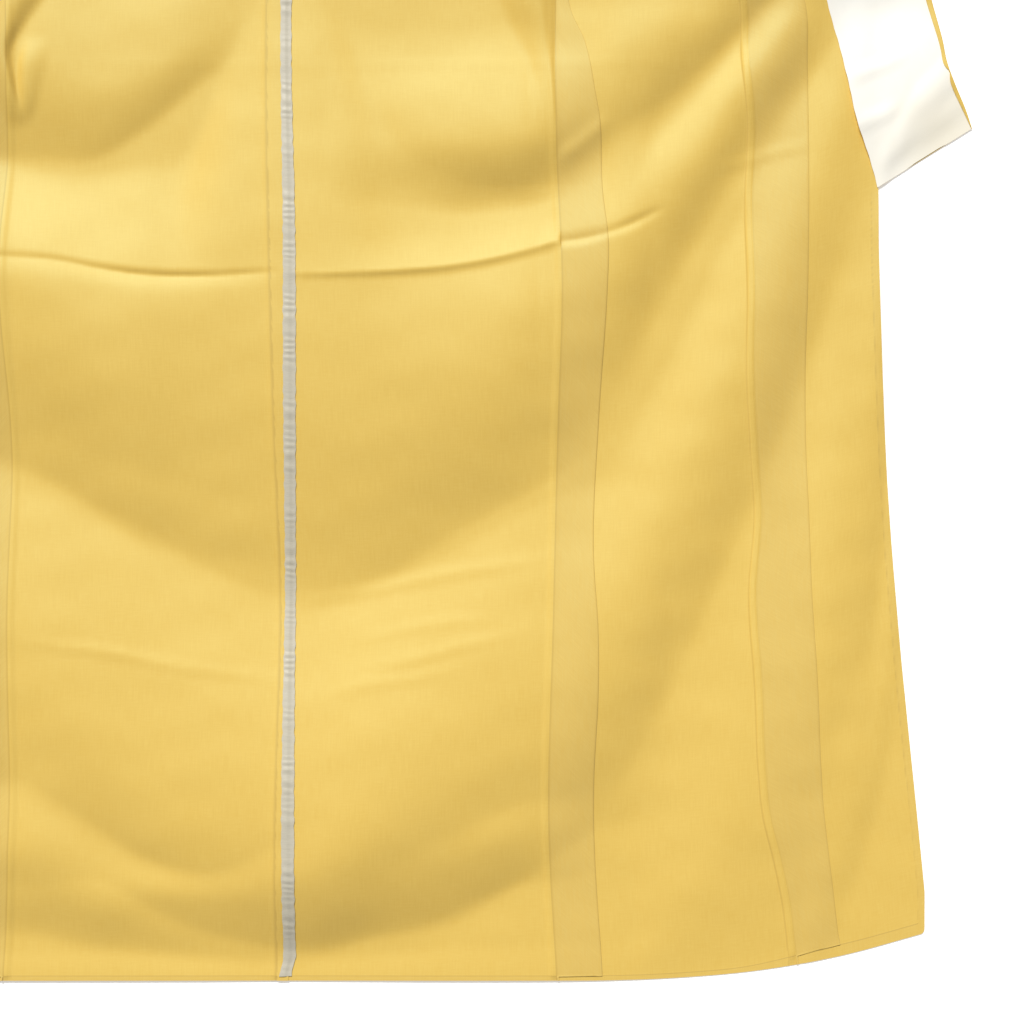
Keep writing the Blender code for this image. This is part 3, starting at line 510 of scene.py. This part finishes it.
def sewPiece(name, grids, material, node):
    # Joins grids that share their border points and gives the cloth its thickness
    bpy.ops.object.select_all(action="DESELECT")
    for grid in grids:
        grid.select_set(True)
    piece = grids[0]
    bpy.context.view_layer.objects.active = piece
    if len(grids) > 1:
        bpy.ops.object.join()
    piece.name = piece.data.name = name
    bpy.ops.object.mode_set(mode="EDIT")
    bpy.ops.mesh.select_all(action="SELECT")
    bpy.ops.mesh.remove_doubles(threshold=sewing["joinWithin"])
    bpy.ops.object.mode_set(mode="OBJECT")
    count = len(piece.data.vertices)
    wall = piece.modifiers.new("wall", "SOLIDIFY")
    wall.thickness = sewing["wall"]
    bpy.ops.object.modifier_apply(modifier=wall.name)
    mesh = piece.data
    places = np.zeros((2 * count, 3), np.float32)
    for start, label in ((0, "innerFace"), (count, "outerFace")):
        kept = np.zeros(2 * count * 3, np.float32)
        mesh.attributes[label].data.foreach_get("vector", kept)
        places[start:start + count] = kept.reshape(-1, 3)[start:start + count]
        mesh.attributes.remove(mesh.attributes[label])
    mesh.vertices.foreach_set("co", places.ravel())
    mesh.update()
    bpy.ops.object.mode_set(mode="EDIT")
    bpy.ops.mesh.select_all(action="SELECT")
    bpy.ops.mesh.normals_make_consistent(inside=False)
    bpy.ops.object.mode_set(mode="OBJECT")
    bpy.ops.object.shade_smooth_by_angle(angle=math.radians(sewing["smoothAngle"]))
    mesh.materials.clear()
    mesh.materials.append(material)
    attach(piece, "root")
    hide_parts(node)
    print(name, len(mesh.vertices), "points")
    return piece


def bodyPiece(hand, material):
    # Back, turned shoulder and front of one side, with the allowances that lie past their seams
    t, g = cloth["thick"], cloth["gap"]
    plan, neckColumn = backPlan(hand)
    straight = len(levels)
    x, y = plan[..., 0] * hand, plan[..., 1]
    sideX = np.concatenate([sideOf(hand, levels)[:, 0], plan[straight:, -1, 0]])[:, None]
    sideY = np.concatenate([levels, plan[straight:, -1:, 1]])
    climb = softStep((plan[..., 0] - sideX + seam["sideRidge"] + climbWidth(sideY)) / climbWidth(sideY))
    fade = 1 - softStep((sideY - seam["fadeStart"]) / seam["fadeRun"])
    rise = (frontLift(sideX, sideY) + t + g + seam["rise"]) * fade * softStep(sideY / hem["settleRun"])
    level = clothLie(x, y) + climb * rise
    allLevels = np.full(len(plan), 99.0)
    allLevels[:straight] = levels[:, 0]
    band = hemRise(allLevels)
    fromCentre = plan[..., 0] - plan[:, :1, 0]
    if hand == left:
        overLap = softStep((seam["centreRun"] - fromCentre) / seam["centreBlend"])
        level = level + (t + g) * overLap * softStep(allLevels[:, None] / hem["settleRun"])
    inner, outer = faces(plan, level, hand, t + band[:, None])
    # Painted shade: darker along the centre seam's valley and on the fold at the side seam
    seamShade = seam["centreSeamShade"] * softStep((0.42 - fromCentre) / 0.32)
    seamShade[:, -2:] = seam["sideSeamShade"]
    marks = np.maximum(seamShade, stitchAndShadeLine(allLevels)[:, None])
    grids = [clothGrid("back", inner, outer, hem["tone"] * (band[:, None] > 0), marks)]

    # Side seam's allowance, on the front
    underarm = plan[straight - 1, neckColumn:, 0]
    neck = layout["neckPoint"][0]
    share = np.clip((underarm - neck) / (underarm[-1] - neck), 0, 1)
    fan = creaseSteps * (1 - share[::-1])[1:]
    front = frontPlan(hand, fan)
    thinEdge = t * np.where(lapShares == 1, seam["edgeThin"], 1)
    strip = np.where(lapShares == 0, 0.2, 1)
    # Painted shade at the seam on an allowance's first column; along its free edge a dark line, the cut edge's
    # threads with painted shadow beside them
    edge = np.where(lapShares == 0, seam["sideSeamShade"], (lapShares == 1) * seam["edgeMark"])

    def addLap(name, under, rowLevel, walls, rise, mark):
        # An allowance over the panel beside its seam, joined to the last column of the cloth it belongs to
        count = len(rowLevel)
        lapPlan = tuckInHem(under[:count, :len(lapShares)], rowLevel)
        lapPlan[:, 0] = walls[0][:count, -1]
        lapBand = hemRise(rowLevel)
        lapLevel = upperLie(lapPlan, hand) + t + g + lapBand
        lapLevel = lapLevel + rise * softStep(1 - (lapPlan[..., 0] - lapPlan[:, :1, 0]) / 0.35)
        lapInner, lapOuter = faces(lapPlan, lapLevel, hand, thinEdge + lapBand)
        lapInner[:, 0], lapOuter[:, 0] = walls[1][:count, -1], walls[2][:count, -1]
        grids.append(clothGrid(name, lapInner, lapOuter, strip[None], mark * edge[None]))

    addLap("sideLap", front, levels[levels[:, 0] < seam["lapEnd"]], (plan, inner, outer), seam["rise"], 1)

    # Centre seam's allowance, turned onto the right back under the tape
    if hand == left:
        other, _ = backPlan(right)
        lapPlan = other[:, :len(centreShares)].copy()
        lapPlan[:, 0, 0] = -plan[:, 0, 0]
        arch = 0.02 * np.sin(np.pi * lapShares[::2])
        lapLevel = clothLie(lapPlan[..., 0], lapPlan[..., 1]) + t + g + band[:, None] + arch
        lapInner, lapOuter = faces(lapPlan, lapLevel, right, t)
        lapInner[:, 0], lapOuter[:, 0] = inner[:, 0], outer[:, 0]
        lapInner, lapOuter = lapInner[:, ::-1], lapOuter[:, ::-1]
        grids.append(clothGrid("centreLap", lapInner, lapOuter, doubledAndEndShade=0.25))

    # Front
    rowsOfFront = np.concatenate([levels[:, 0], layout["underarm"] + fan])
    frontBand = hemRise(rowsOfFront)[:, None]
    gapToEdge = np.linalg.norm(front[:, -1:] - front, axis=2)
    hasOverlap = np.concatenate([np.ones(straight), fan <= overlapTip + 1e-6])[:, None]
    ridge = softStep((seam["ridge"] - gapToEdge) / 0.2)
    hump = softStep((0.86 - gapToEdge) / 0.25) * softStep((gapToEdge - 0.02) / 0.16)
    frontLevel = upperLie(front, hand)
    settled = softStep(rowsOfFront[:, None] / hem["settleRun"])
    frontLevel = frontLevel + hasOverlap * ((t + g) * ridge + 0.05 * hump) * settled
    frontInner, frontOuter = faces(front, frontLevel, hand, t + frontBand)
    # Painted shade at both feet of the ridge over the allowance: at the seam and where the ridge drops to the front
    ridgeFootShade = seam["stitchAndShadeLine"] * (np.abs(gapToEdge - seam["stitchAndShadeAt"]) < 0.06)
    marks = hasOverlap * np.maximum(ridgeFootShade, seam["overlapSeamShade"] * (gapToEdge < 0.01))
    marks = np.maximum(marks, stitchAndShadeLine(rowsOfFront)[:, None])
    grids.append(clothGrid("front", frontInner, frontOuter, hem["tone"] * (frontBand > 0), marks))

    # Overlap seam's allowance, on the overlap panel
    overlap = overlapPlan(fan)
    walls = (front, frontInner, frontOuter)
    addLap("overlapLap", overlap, rowsOfFront[:len(overlap), None], walls, 0, seam["overlapEdgeMark"])

    # Shoulder, turned down over the back, then back along the crease
    top = plan[-1, neckColumn:]
    low = creaseAt(hand, creaseSteps * (1 - share))
    upward = np.array([-0.42, 0.908])
    inward = np.array([-0.713, -0.701])
    flapInner, flapOuter = [inner[-1, neckColumn:]], [outer[-1, neckColumn:]]

    def addTurned(line, base, radius, around, turn, insideUp):
        # A row of turned cloth; turn runs from 0 to 1 round the fold
        angle = math.pi * turn
        points = line + around * np.broadcast_to(radius, len(line))[:, None] * math.sin(angle)
        mid = base + radius * (1 - math.cos(angle))
        normal = np.array([around[0] * hand * math.sin(angle), around[1] * math.sin(angle), -math.cos(angle)])
        wall = np.concatenate([points * (hand, 1), mid[:, None]], axis=1)
        flapInner.append(wall + insideUp * normal * t / 2)
        flapOuter.append(wall - insideUp * normal * t / 2)

    shoulderTurn = 0.09
    base = clothLie(top[:, 0] * hand, top[:, 1]) + t / 2
    for turn in bends:
        addTurned(top, base, shoulderTurn, upward, turn, -1)
    for k in range(layout["rowsOnShoulder"] + 1):
        points = mix(top, low, k / layout["rowsOnShoulder"])
        mid = clothLie(points[:, 0] * hand, points[:, 1]) + t / 2 + 2 * shoulderTurn
        addTurned(points, mid, 0, upward, 1.0, -1)
    creaseInner, creaseOuter = frontInner[straight - 1:, 0][::-1], frontOuter[straight - 1:, 0][::-1]
    creaseTurn = (creaseInner[:, 2] - t / 2 - mid) / 2
    for turn in bends:
        addTurned(low, mid, creaseTurn, inward, turn, 1)
    flapInner.append(creaseInner)
    flapOuter.append(creaseOuter)
    grids.append(clothGrid("shoulder", np.array(flapInner), np.array(flapOuter)))
    side = handNames[hand]
    return sewPiece(side + "BodyCloth", grids, material, "body_" + side), fan


def overlapPiece(hand, fan, material):
    panel = {"edgeHem": 0.76, "stitchAndShadeAt": 0.78, "stitchWidth": 0.06, "stitchAndShadeLine": 0.28, "dashes": 9, "corner": 0.4}
    t = cloth["thick"]
    plan = overlapPlan(fan)
    level = upperLie(plan, hand)
    rowLevel = np.concatenate([levels[:, 0], layout["underarm"] + fan[fan <= overlapTip + 1e-6]])
    fromEdge = np.linalg.norm(plan[:, -1:] - plan, axis=2)
    belowCollar = (rowLevel < layout["collarEnd"] - 0.01)[:, None]
    band = hem["rise"] * np.maximum((rowLevel < hem["level"])[:, None], belowCollar * (fromEdge < panel["edgeHem"]))
    dashes = 0.5 + 0.5 * np.sin(plan[..., 1] * panel["dashes"])
    onStitches = np.abs(fromEdge - panel["stitchAndShadeAt"]) < panel["stitchWidth"]
    stitches = panel["stitchAndShadeLine"] * belowCollar * onStitches * dashes * (rowLevel[:, None] > 0.8)
    stitches = np.maximum(stitches, stitchAndShadeLine(rowLevel)[:, None] * (fromEdge > 0.7))

    # Rounded corner of hem and front edge
    corner = panel["corner"]
    along = np.clip((corner - fromEdge) / corner, 0, 1)
    up = np.clip((corner - rowLevel[:, None]) / corner, 0, 1) * np.ones_like(along)
    plan[..., 0] -= corner * along * (1 - np.sqrt(1 - up ** 2 / 2))
    plan[..., 1] += corner * up * (1 - np.sqrt(1 - along ** 2 / 2))
    inner, outer = faces(plan, level, hand, t + band)
    grid = clothGrid("overlap", inner, outer, hem["tone"] * (band > 0), stitches)
    side = handNames[hand]
    return sewPiece(side + "OverlapCloth", [grid], material, "overlap_" + side)


def sleevePiece(hand, material):
    # A tube pressed flat, open at the body and at the cuff
    sleeve = {"cuffTop": (64.3, 156.5), "cuffBottom": (64.6, 109.6), "bodyBottom": (31.3, 108), "length": 33.5,
              "armholeY": (108, 119, 153), "armholeX": (31.3, 30.04, 31.04), "corner": 3, "rows": 56,
              "across": 70, "turn": 0.08}
    t = cloth["thick"]
    bodyTop = np.array(layout["shoulderPoint"]) + (cloth["seamGap"], 0)
    steps = np.concatenate([np.linspace(0, 0.93, sleeve["rows"]), [0.95, 0.97, 0.985, 0.995, 1]])
    turn, corner = sleeve["turn"], sleeve["corner"]
    innerRows, outerRows = [], []
    for s in steps:
        top = mix(bodyTop, np.array(sleeve["cuffTop"]), s)
        low = mix(np.array(sleeve["bodyBottom"]), np.array(sleeve["cuffBottom"]), s)
        into = max(0.0, corner - (1 - s) * sleeve["length"])
        low[1] += corner - math.sqrt(corner ** 2 - into ** 2)
        fold = turn / (top[1] - low[1])
        spots = [(v, 0.0) for v in np.linspace(fold, 1 - fold, sleeve["across"])]
        spots += [(1 - fold, a) for a in bends]
        spots += [(v, 1.0) for v in np.linspace(1 - fold, fold, sleeve["across"])]
        spots += [(fold, a) for a in bends[::-1]]
        inner, outer = [], []
        for v, angle in spots:
            point = mix(low, top, v)
            seamPoint = mix(np.array(sleeve["bodyBottom"]), bodyTop, v)
            armhole = np.interp(seamPoint[1], sleeve["armholeY"], sleeve["armholeX"])
            point[0] += (armhole - seamPoint[0]) * (1 - s) ** 2
            outward = 1 if v > 0.5 else -1
            swing = math.sin(math.pi * angle) * outward
            for spot, radius in ((inner, turn - t / 2), (outer, turn + t / 2)):
                height = t / 2 + turn - math.cos(math.pi * angle) * radius
                spot.append((point[0], point[1] + swing * radius, height))
        innerRows.append(inner + inner[:1])
        outerRows.append(outer + outer[:1])
    inner, outer = np.array(innerRows), np.array(outerRows)
    lie = clothLie(outer[..., 0] * hand, outer[..., 1])
    for points in (inner, outer):
        points[..., 2] += lie
        points[..., 0] *= hand
    grid = clothGrid("sleeve", inner, outer)
    side = handNames[hand]
    return sewPiece(side + "SleeveCloth", [grid], material, "sleeve_" + side)


# Collar's form; its last two entries give the strength and reach of painted shade, a deeper cream on the lining
# towards the collar's open end
collarForm = {"endWidth": 10.7, "endFlare": 0.42, "flareRun": 12, "endLie": 0.15, "endInset": 0.1, "neckWidth": 5.6,
              "slant": 4, "slantRun": 20, "fullRun": 25, "liningShown": 0.5, "liningOverSeam": 0.13, "turn": 0.08,
              "liningThick": 0.05, "settleRun": 2.4, "pointPitch": 0.55, "lineSmoothing": 6,
              "directionSmoothing": 60, "columns": 20, "turnedColumns": 6, "liningColumns": 24, "paintedEndShade": 0.9,
              "paintedShadeReach": 11}


def collarPath(fan):
    # The collar's seam from its right end round the neck to its left end, smoothed, with outward directions
    onRows = levels[:, 0] >= layout["collarEnd"] - 0.01
    edge = overlapPlan(fan)[:len(levels), -1][onRows]
    onOverlap = fan[fan <= overlapTip]
    onFront = fan[(fan > overlapTip + 0.2) & (fan < creaseSteps - 0.1)]
    atNeck = [layout["neckPoint"], layout["neckCentre"]]
    half = np.concatenate([edge, upperEdgeAt(onOverlap, 3), upperEdgeAt(onFront, 1), atNeck])
    path = np.concatenate([half, half[-2::-1] * (-1, 1)])
    run = np.concatenate([[0], np.cumsum(np.linalg.norm(np.diff(path, axis=0), axis=1))])
    even = np.linspace(0, run[-1], int(run[-1] / collarForm["pointPitch"]))
    path = np.stack([np.interp(even, run, path[:, k]) for k in (0, 1)], axis=-1)
    for _ in range(collarForm["lineSmoothing"]):
        path[1:-1] = (path[:-2] + 2 * path[1:-1] + path[2:]) / 4
    step = np.gradient(path, axis=0)
    for _ in range(collarForm["directionSmoothing"]):
        step[1:-1] = (step[:-2] + 2 * step[1:-1] + step[2:]) / 4
    step /= np.linalg.norm(step, axis=1)[:, None]
    return path, step, even


# distance from the collar's end, width of the mustard edge turned over the lining
edgeTurned = ((0, 0.06), (1.2, 0.24), (3.5, 0.4), (5.6, 0.36), (6.8, 0.08), (8, 0.34), (11, 0.4), (16, 0.55),
              (25, 0.6), (30, 0.6))

# Soft dents in the open collar
collarDents = {
    "dent 1": evenFold(1.5, 1.5, 1.4, 1, ((61, 91, 0), (63, 91.8, 0.14), (65, 92.6, 0.12), (67.5, 94, 0))),
    "dent 2": (1.5, 1.5, ((64, 86, 0, 3, 3.4), (66, 89, 0.16, 3, 3.4), (68, 92.4, 0.24, 3.2, 3.4),
                          (70.5, 95, 0.24, 3.4, 3.2), (73, 98, 0.1, 3.4, 3), (75, 100, 0, 3, 3))),
    "tip lobe": (1.5, 1.5, ((67.5, 90, 0, 1.6, 1.8), (69.5, 91, 0.1, 1.8, 2), (71.5, 92.6, 0.1, 1.8, 2),
                            (73.5, 94, 0, 1.6, 1.8))),
    "dent 3": evenFold(1.5, 1.5, 1.2, 1, ((60.5, 96, 0), (63, 97.2, 0.11), (66, 98.4, 0.08), (68, 99.4, 0))),
    "end slope": evenFold(1.6, 1.5, 10, 9, (
        (60, 92.5, 0.25), (64, 94, 0.45), (68, 96, 0.55), (72, 98, 0.4), (76, 99.5, 0))),
}


def collarLie(x, y):
    dents = sum(foldAcross(np.abs(x), y, fold) for fold in collarDents.values())
    return clothLie(x, y) + frontLift(x, y) + dents


def collarPieces(fan, clothMaterial, liningMaterial):
    t, g = cloth["thick"], cloth["gap"]
    form = collarForm
    path, step, run = collarPath(fan)
    outward = stack(step[:, 1], -step[:, 0])
    fromEnd = np.minimum(run, run[-1] - run)
    halfRun = run[-1] / 2
    narrowing = softStep((fromEnd - form["fullRun"]) / (halfRun - form["fullRun"]))
    flare = form["endFlare"] * softStep(1 - fromEnd / form["flareRun"])
    width = mix(form["endWidth"], form["neckWidth"], narrowing) + flare
    turned = mix(readCurve(fromEnd, edgeTurned, 1), width - form["liningShown"], narrowing)
    slant = form["slant"] * softStep(1 - fromEnd / form["slantRun"])
    reach = outward * width[:, None] + step * (slant * np.sign(halfRun - run))[:, None]
    start = path + outward * cloth["seamGap"]

    def across(share):
        return start[:, None] + reach[:, None] * share[..., None]

    openShare = ((width - turned) / width)[:, None]
    flat = np.linspace(0, 1, form["columns"])[None] * (1 - form["turn"] / width)[:, None]
    back = mix(flat[:, -1:], openShare, np.linspace(0, 1, form["turnedColumns"])[None])
    unit = reach / np.linalg.norm(reach, axis=1)[:, None]
    inner, outer = [], []

    def addColumn(points, mid, normalAside, normalUp):
        normal = np.concatenate([unit * normalAside, np.full((len(unit), 1), normalUp)], axis=1)
        wall = np.concatenate([points, mid[:, None]], axis=1)
        inner.append(wall + normal * t / 2)
        outer.append(wall - normal * t / 2)

    def lie(points, share):
        # The open end settles onto the floor
        settle = mix(form["endLie"], 1, softStep(fromEnd / form["settleRun"]))[:, None]
        return collarLie(points[..., 0], points[..., 1]) * mix(1, settle, softStep(share * width[:, None] / 2))

    flatLie = lie(across(flat), flat)
    for k in range(flat.shape[1]):
        addColumn(across(flat)[:, k], flatLie[:, k] + t / 2, 0, 1)
    tip = across(flat)[:, -1]
    base = flatLie[:, -1] + t / 2
    for turn in bends:
        angle = math.pi * turn
        points = tip + unit * form["turn"] * math.sin(angle)
        addColumn(points, base + form["turn"] * (1 - math.cos(angle)), -math.sin(angle), math.cos(angle))
    backLie = lie(across(back), back)
    for k in range(back.shape[1]):
        addColumn(across(back)[:, k], backLie[:, k] + t / 2 + 2 * form["turn"], 0, -1)
    band = clothGrid("collar", np.stack(inner, 1), np.stack(outer, 1))
    band = sewPiece("collarBand", [band], clothMaterial, "collar")

    cover = form["liningThick"]
    overSeam = form["liningOverSeam"] + 0.03 * np.sin(run * 1.1) + 0.02 * np.sin(run * 2.9 + 1)
    shares = mix(-(overSeam / width)[:, None], flat[:, -1:], np.linspace(0, 1, form["liningColumns"])[None])
    points = across(shares)
    endInset = form["endInset"] * softStep((shares - 0.3) / 0.1) * softStep((0.75 - shares) / 0.1)
    inward = step * np.sign(halfRun - run)[:, None]
    points = points + inward[:, None] * (endInset * (fromEnd < 0.3)[:, None])[..., None]
    low = lie(points, shares) + t + g
    liningInner, liningOuter = faces(points, low, right, cover)
    # Painted shade: the lining turns a deeper cream towards the collar's open end, more so away from its seam
    endShadeShare = form["paintedEndShade"] * softStep(1 - fromEnd / form["paintedShadeReach"])[:, None]
    paintedEndShade = endShadeShare * (0.45 + 0.55 * softStep((shares - 0.1) / 0.6))
    liningGrid = clothGrid("lining", liningInner, liningOuter, doubledAndEndShade=paintedEndShade)
    lining = sewPiece("collarLiningCloth", [liningGrid], liningMaterial, "collar_lining")
    return band, lining


def tapePiece(material):
    # Binding tape on the centre seam, drawn into puckers by its stitches
    tape = {"width": 1.27, "thick": 0.05, "pitch": 0.15, "bottom": 0.28, "pucker": 0.03, "endDrift": 0.45,
            "driftBelow": 2.6, "driftRun": 2.4}
    t, g = cloth["thick"], cloth["gap"]
    y = np.arange(tape["bottom"], layout["neckCentre"][1] - 0.4, tape["pitch"])[:, None]
    start = tapeLeft(y) - tape["endDrift"] * softStep((tape["driftBelow"] - y) / tape["driftRun"])
    wobble = 0.03 * np.sin(y * 2.3 + np.sin(y * 0.7) * 2) + 0.02 * np.sin(y * 5.1 + 1) + 0.05 * np.sin(y / 9)
    shares = np.array([0, 0.06, 0.2, 0.36, 0.5, 0.64, 0.8, 0.94, 1])[None]
    x = start + shares * tape["width"] + wobble * (2 * shares - 1)
    rowsY = y + 0 * x + 0.1 * (shares - 0.5) * np.sin(y * 1.7)
    phase = y * 7.4 + 2.6 * np.sin(y * 1.3) + 1.6 * np.sin(y * 0.47 + 1)
    strength = 0.15 + softStep(0.5 + 0.9 * np.sin(y * 0.31 + 0.5) * np.sin(y * 0.83 + 2)) * softStep(y / 3)
    pucker = tape["pucker"] * strength * (1 + np.sin(phase + 1.4 * shares)) * (1 - (2 * shares - 1) ** 4)
    overLap = (t + g + 0.03) * (1 - softStep((shares - 0.42) / 0.3))
    level = clothLie(x, rowsY) + t + g + 0.02 + overLap + hemRise(y) + pucker
    inner, outer = faces(stack(x, rowsY), level, right, tape["thick"])
    grid = clothGrid("tape", inner, outer)
    return sewPiece("centreSeamTape", [grid], material, "back_seam_tape")


def newMaterial(name):
    material = bpy.data.materials.new(name)
    material.use_nodes = True
    return material, material.node_tree, material.node_tree.nodes["Principled BSDF"]


def setShader(shader, values):
    for socket, value in values.items():
        shader.inputs[socket].default_value = value


def addNode(tree, kind, values=(), **settings):
    node = tree.nodes.new(kind)
    for key, value in settings.items():
        setattr(node, key, value)
    setShader(node, dict(values))
    return node


def wovenCoordinates(tree, across, along):
    # Coordinates that follow the cloth, stretched so that marks run with the threads
    place = addNode(tree, "ShaderNodeUVMap")
    scaled = addNode(tree, "ShaderNodeMapping", {"Scale": (across, along, 1)})
    tree.links.new(place.outputs["UV"], scaled.inputs["Vector"])
    return scaled.outputs["Vector"]


def mixColours(tree, factor, first, second):
    node = addNode(tree, "ShaderNodeMix", data_type="RGBA")
    for socket, value in ((0, factor), (6, first), (7, second)):
        if isinstance(value, bpy.types.NodeSocket):
            tree.links.new(value, node.inputs[socket])
        else:
            node.inputs[socket].default_value = value
    return node.outputs[2]


def mapRange(tree, value, top, low=0, high=1):
    node = addNode(tree, "ShaderNodeMapRange", {"From Min": low, "From Max": high, "To Max": top})
    tree.links.new(value, node.inputs["Value"])
    return node.outputs["Result"]


def markOf(tree, name):
    # A mark kept with the cloth's points
    return addNode(tree, "ShaderNodeAttribute", attribute_name=name).outputs["Fac"]


def noiseAlong(tree, across, along, detail=2):
    noise = addNode(tree, "ShaderNodeTexNoise", {"Scale": 1.0, "Detail": detail, "Roughness": 0.6})
    tree.links.new(wovenCoordinates(tree, across, along), noise.inputs["Vector"])
    return noise.outputs["Fac"]


def finishWeave(tree, shader, colour, look):
    # Plain weave: the warp and the weft cross at the thread's pitch; a wave of scale 1 has bands 0.314 apart
    tree.links.new(colour, shader.inputs["Base Color"])
    setShader(shader, look["surface"])
    bands = {"Scale": 0.314 / look["threadPitch"], "Distortion": 0.6, "Detail": 0}
    height = addNode(tree, "ShaderNodeMath", operation="MULTIPLY")
    for socket, direction in enumerate(("X", "Y")):
        wave = addNode(tree, "ShaderNodeTexWave", bands, bands_direction=direction)
        tree.links.new(wovenCoordinates(tree, 1, 1), wave.inputs["Vector"])
        tree.links.new(wave.outputs["Fac"], height.inputs[socket])
    bump = addNode(tree, "ShaderNodeBump", {"Strength": look["weave"], "Distance": 0.0002})
    tree.links.new(height.outputs[0], bump.inputs["Height"])
    tree.links.new(bump.outputs["Normal"], shader.inputs["Normal"])


def mustardCloth():
    look = {
        "single": (0.79, 0.513, 0.098, 1), "doubledAndEndShade": (0.728, 0.482, 0.112, 1), "linesAndShade": (0.4, 0.23, 0.05, 1),
        "light": (0.86, 0.6, 0.155, 1), "dark": (0.73, 0.44, 0.065, 1), "lightThreads": 0.3, "darkThreads": 0.32,
        "patches": 0.1, "marks": 0.8, "threadPitch": 0.00045, "weave": 0.25,
        "surface": {"Roughness": 0.52, "Sheen Weight": 0.1, "Sheen Roughness": 0.5, "Specular IOR Level": 0.6,
                    "Specular Tint": (0.15, 1, 0.95, 1)},
    }
    material, tree, shader = newMaterial("mustard plain weave")
    slubs = mapRange(tree, noiseAlong(tree, 60, 1000), look["lightThreads"], 0.35, 0.65)
    streaks = mapRange(tree, noiseAlong(tree, 900, 40), look["darkThreads"], 0.35, 0.65)
    patches = mapRange(tree, noiseAlong(tree, 14, 9, 3), look["patches"], 0.3, 0.7)
    colour = mixColours(tree, markOf(tree, "doubledAndEndShade"), look["single"], look["doubledAndEndShade"])
    light = mixColours(tree, slubs, colour, look["light"])
    dark = mixColours(tree, streaks, light, look["dark"])
    uneven = mixColours(tree, patches, dark, look["light"])
    # Dark lines: stitches and cut edges, with painted shade along seams, ridge feet and the hem band's edge
    linedAndShaded = mixColours(tree, mapRange(tree, markOf(tree, "linesAndShade"), look["marks"]), uneven, look["linesAndShade"])
    finishWeave(tree, shader, linedAndShaded, look)
    return material


def creamLining():
    look = {"white": (0.98, 0.955, 0.875, 1), "cream": (0.945, 0.895, 0.765, 1), "paintedEndShade": (0.88, 0.8, 0.61, 1),
            "patches": 0.6, "paintedShadeStrength": 0.7, "threadPitch": 0.0003, "weave": 0.08,
            "surface": {"Roughness": 0.42, "Sheen Weight": 0.2, "Specular IOR Level": 0.4}}
    material, tree, shader = newMaterial("cream smooth lining")
    patches = mapRange(tree, noiseAlong(tree, 18, 12, 3), look["patches"], 0.35, 0.75)
    # Painted shade: the lining turns a deeper cream where its mark holds the shade near the collar's end
    paintedEndShade = mapRange(tree, markOf(tree, "doubledAndEndShade"), look["paintedShadeStrength"])
    cream = mixColours(tree, patches, look["white"], look["cream"])
    finishWeave(tree, shader, mixColours(tree, paintedEndShade, cream, look["paintedEndShade"]), look)
    return material


def greyTape():
    look = {"pale": (0.585, 0.54, 0.425, 1), "shade": (0.45, 0.41, 0.315, 1), "shadeThreads": 0.5,
            "threadPitch": 0.0004, "weave": 0.15, "surface": {"Roughness": 0.5, "Sheen Weight": 0.15}}
    material, tree, shader = newMaterial("grey binding tape")
    slubs = mapRange(tree, noiseAlong(tree, 90, 900), look["shadeThreads"], 0.3, 0.7)
    finishWeave(tree, shader, mixColours(tree, slubs, look["pale"], look["shade"]), look)
    return material


def studio():
    look = {"floor": (0.93, 0.93, 0.93, 1), "floorSize": 12, "glow": 0.35, "sun": 3.85, "sunAngle": 20, "sky": 0.27,
            "toLight": (-0.2, 0.68, 0.66)}
    bpy.ops.object.select_all(action="DESELECT")
    bpy.ops.mesh.primitive_plane_add(size=look["floorSize"], location=(0, 0, -0.0005))
    floor = bpy.context.object
    floor.name = "paleFloor"
    material, _, shader = newMaterial("pale studio floor")
    setShader(shader, {"Base Color": look["floor"], "Roughness": 0.9, "Emission Color": look["floor"],
                       "Emission Strength": look["glow"]})
    floor.data.materials.append(material)
    bpy.ops.object.light_add(type="SUN", location=(-0.3, 1.8, 1.8))
    sun = bpy.context.object
    sun.name = "softKeyLight"
    sun.data.energy = look["sun"]
    sun.data.angle = math.radians(look["sunAngle"])
    sun.rotation_euler = Vector(look["toLight"]).to_track_quat("Z", "Y").to_euler()
    world = bpy.data.worlds.new("studio")
    bpy.context.scene.world = world
    world.use_nodes = True
    setShader(world.node_tree.nodes["Background"], {"Color": (1, 1, 1, 1), "Strength": look["sky"]})
    bpy.context.scene.view_settings.view_transform = "Standard"


def photoCamera():
    # Straight down over the garment's lower right: width of the field of view, and its centre
    view = {"field": 109.57, "centreX": 25.1, "centreY": 50.1, "lens": 85, "sensor": 36, "level": 1}
    bpy.ops.object.camera_add()
    camera = bpy.context.object
    camera.data.lens = view["lens"]
    camera.data.sensor_width = view["sensor"]
    height = view["field"] * view["lens"] / view["sensor"] + view["level"]
    camera.location = (view["centreX"] * cm, (view["centreY"] + hemLine) * cm, height * cm)
    camera.rotation_euler = (0, 0, 0)
    bpy.context.scene.camera = camera


mustard, cream, grey = mustardCloth(), creamLining(), greyTape()
bodies, overlaps, sleeves = [], [], []
for hand in (left, right):
    body, fan = bodyPiece(hand, mustard)
    bodies.append(body)
    overlaps.append(overlapPiece(hand, fan, mustard))
    sleeves.append(sleevePiece(hand, mustard))
collar, lining = collarPieces(fan, mustard, cream)
tape = tapePiece(grey)
print("pieces dressed")

studio()
photoCamera()
print("studio and camera set")
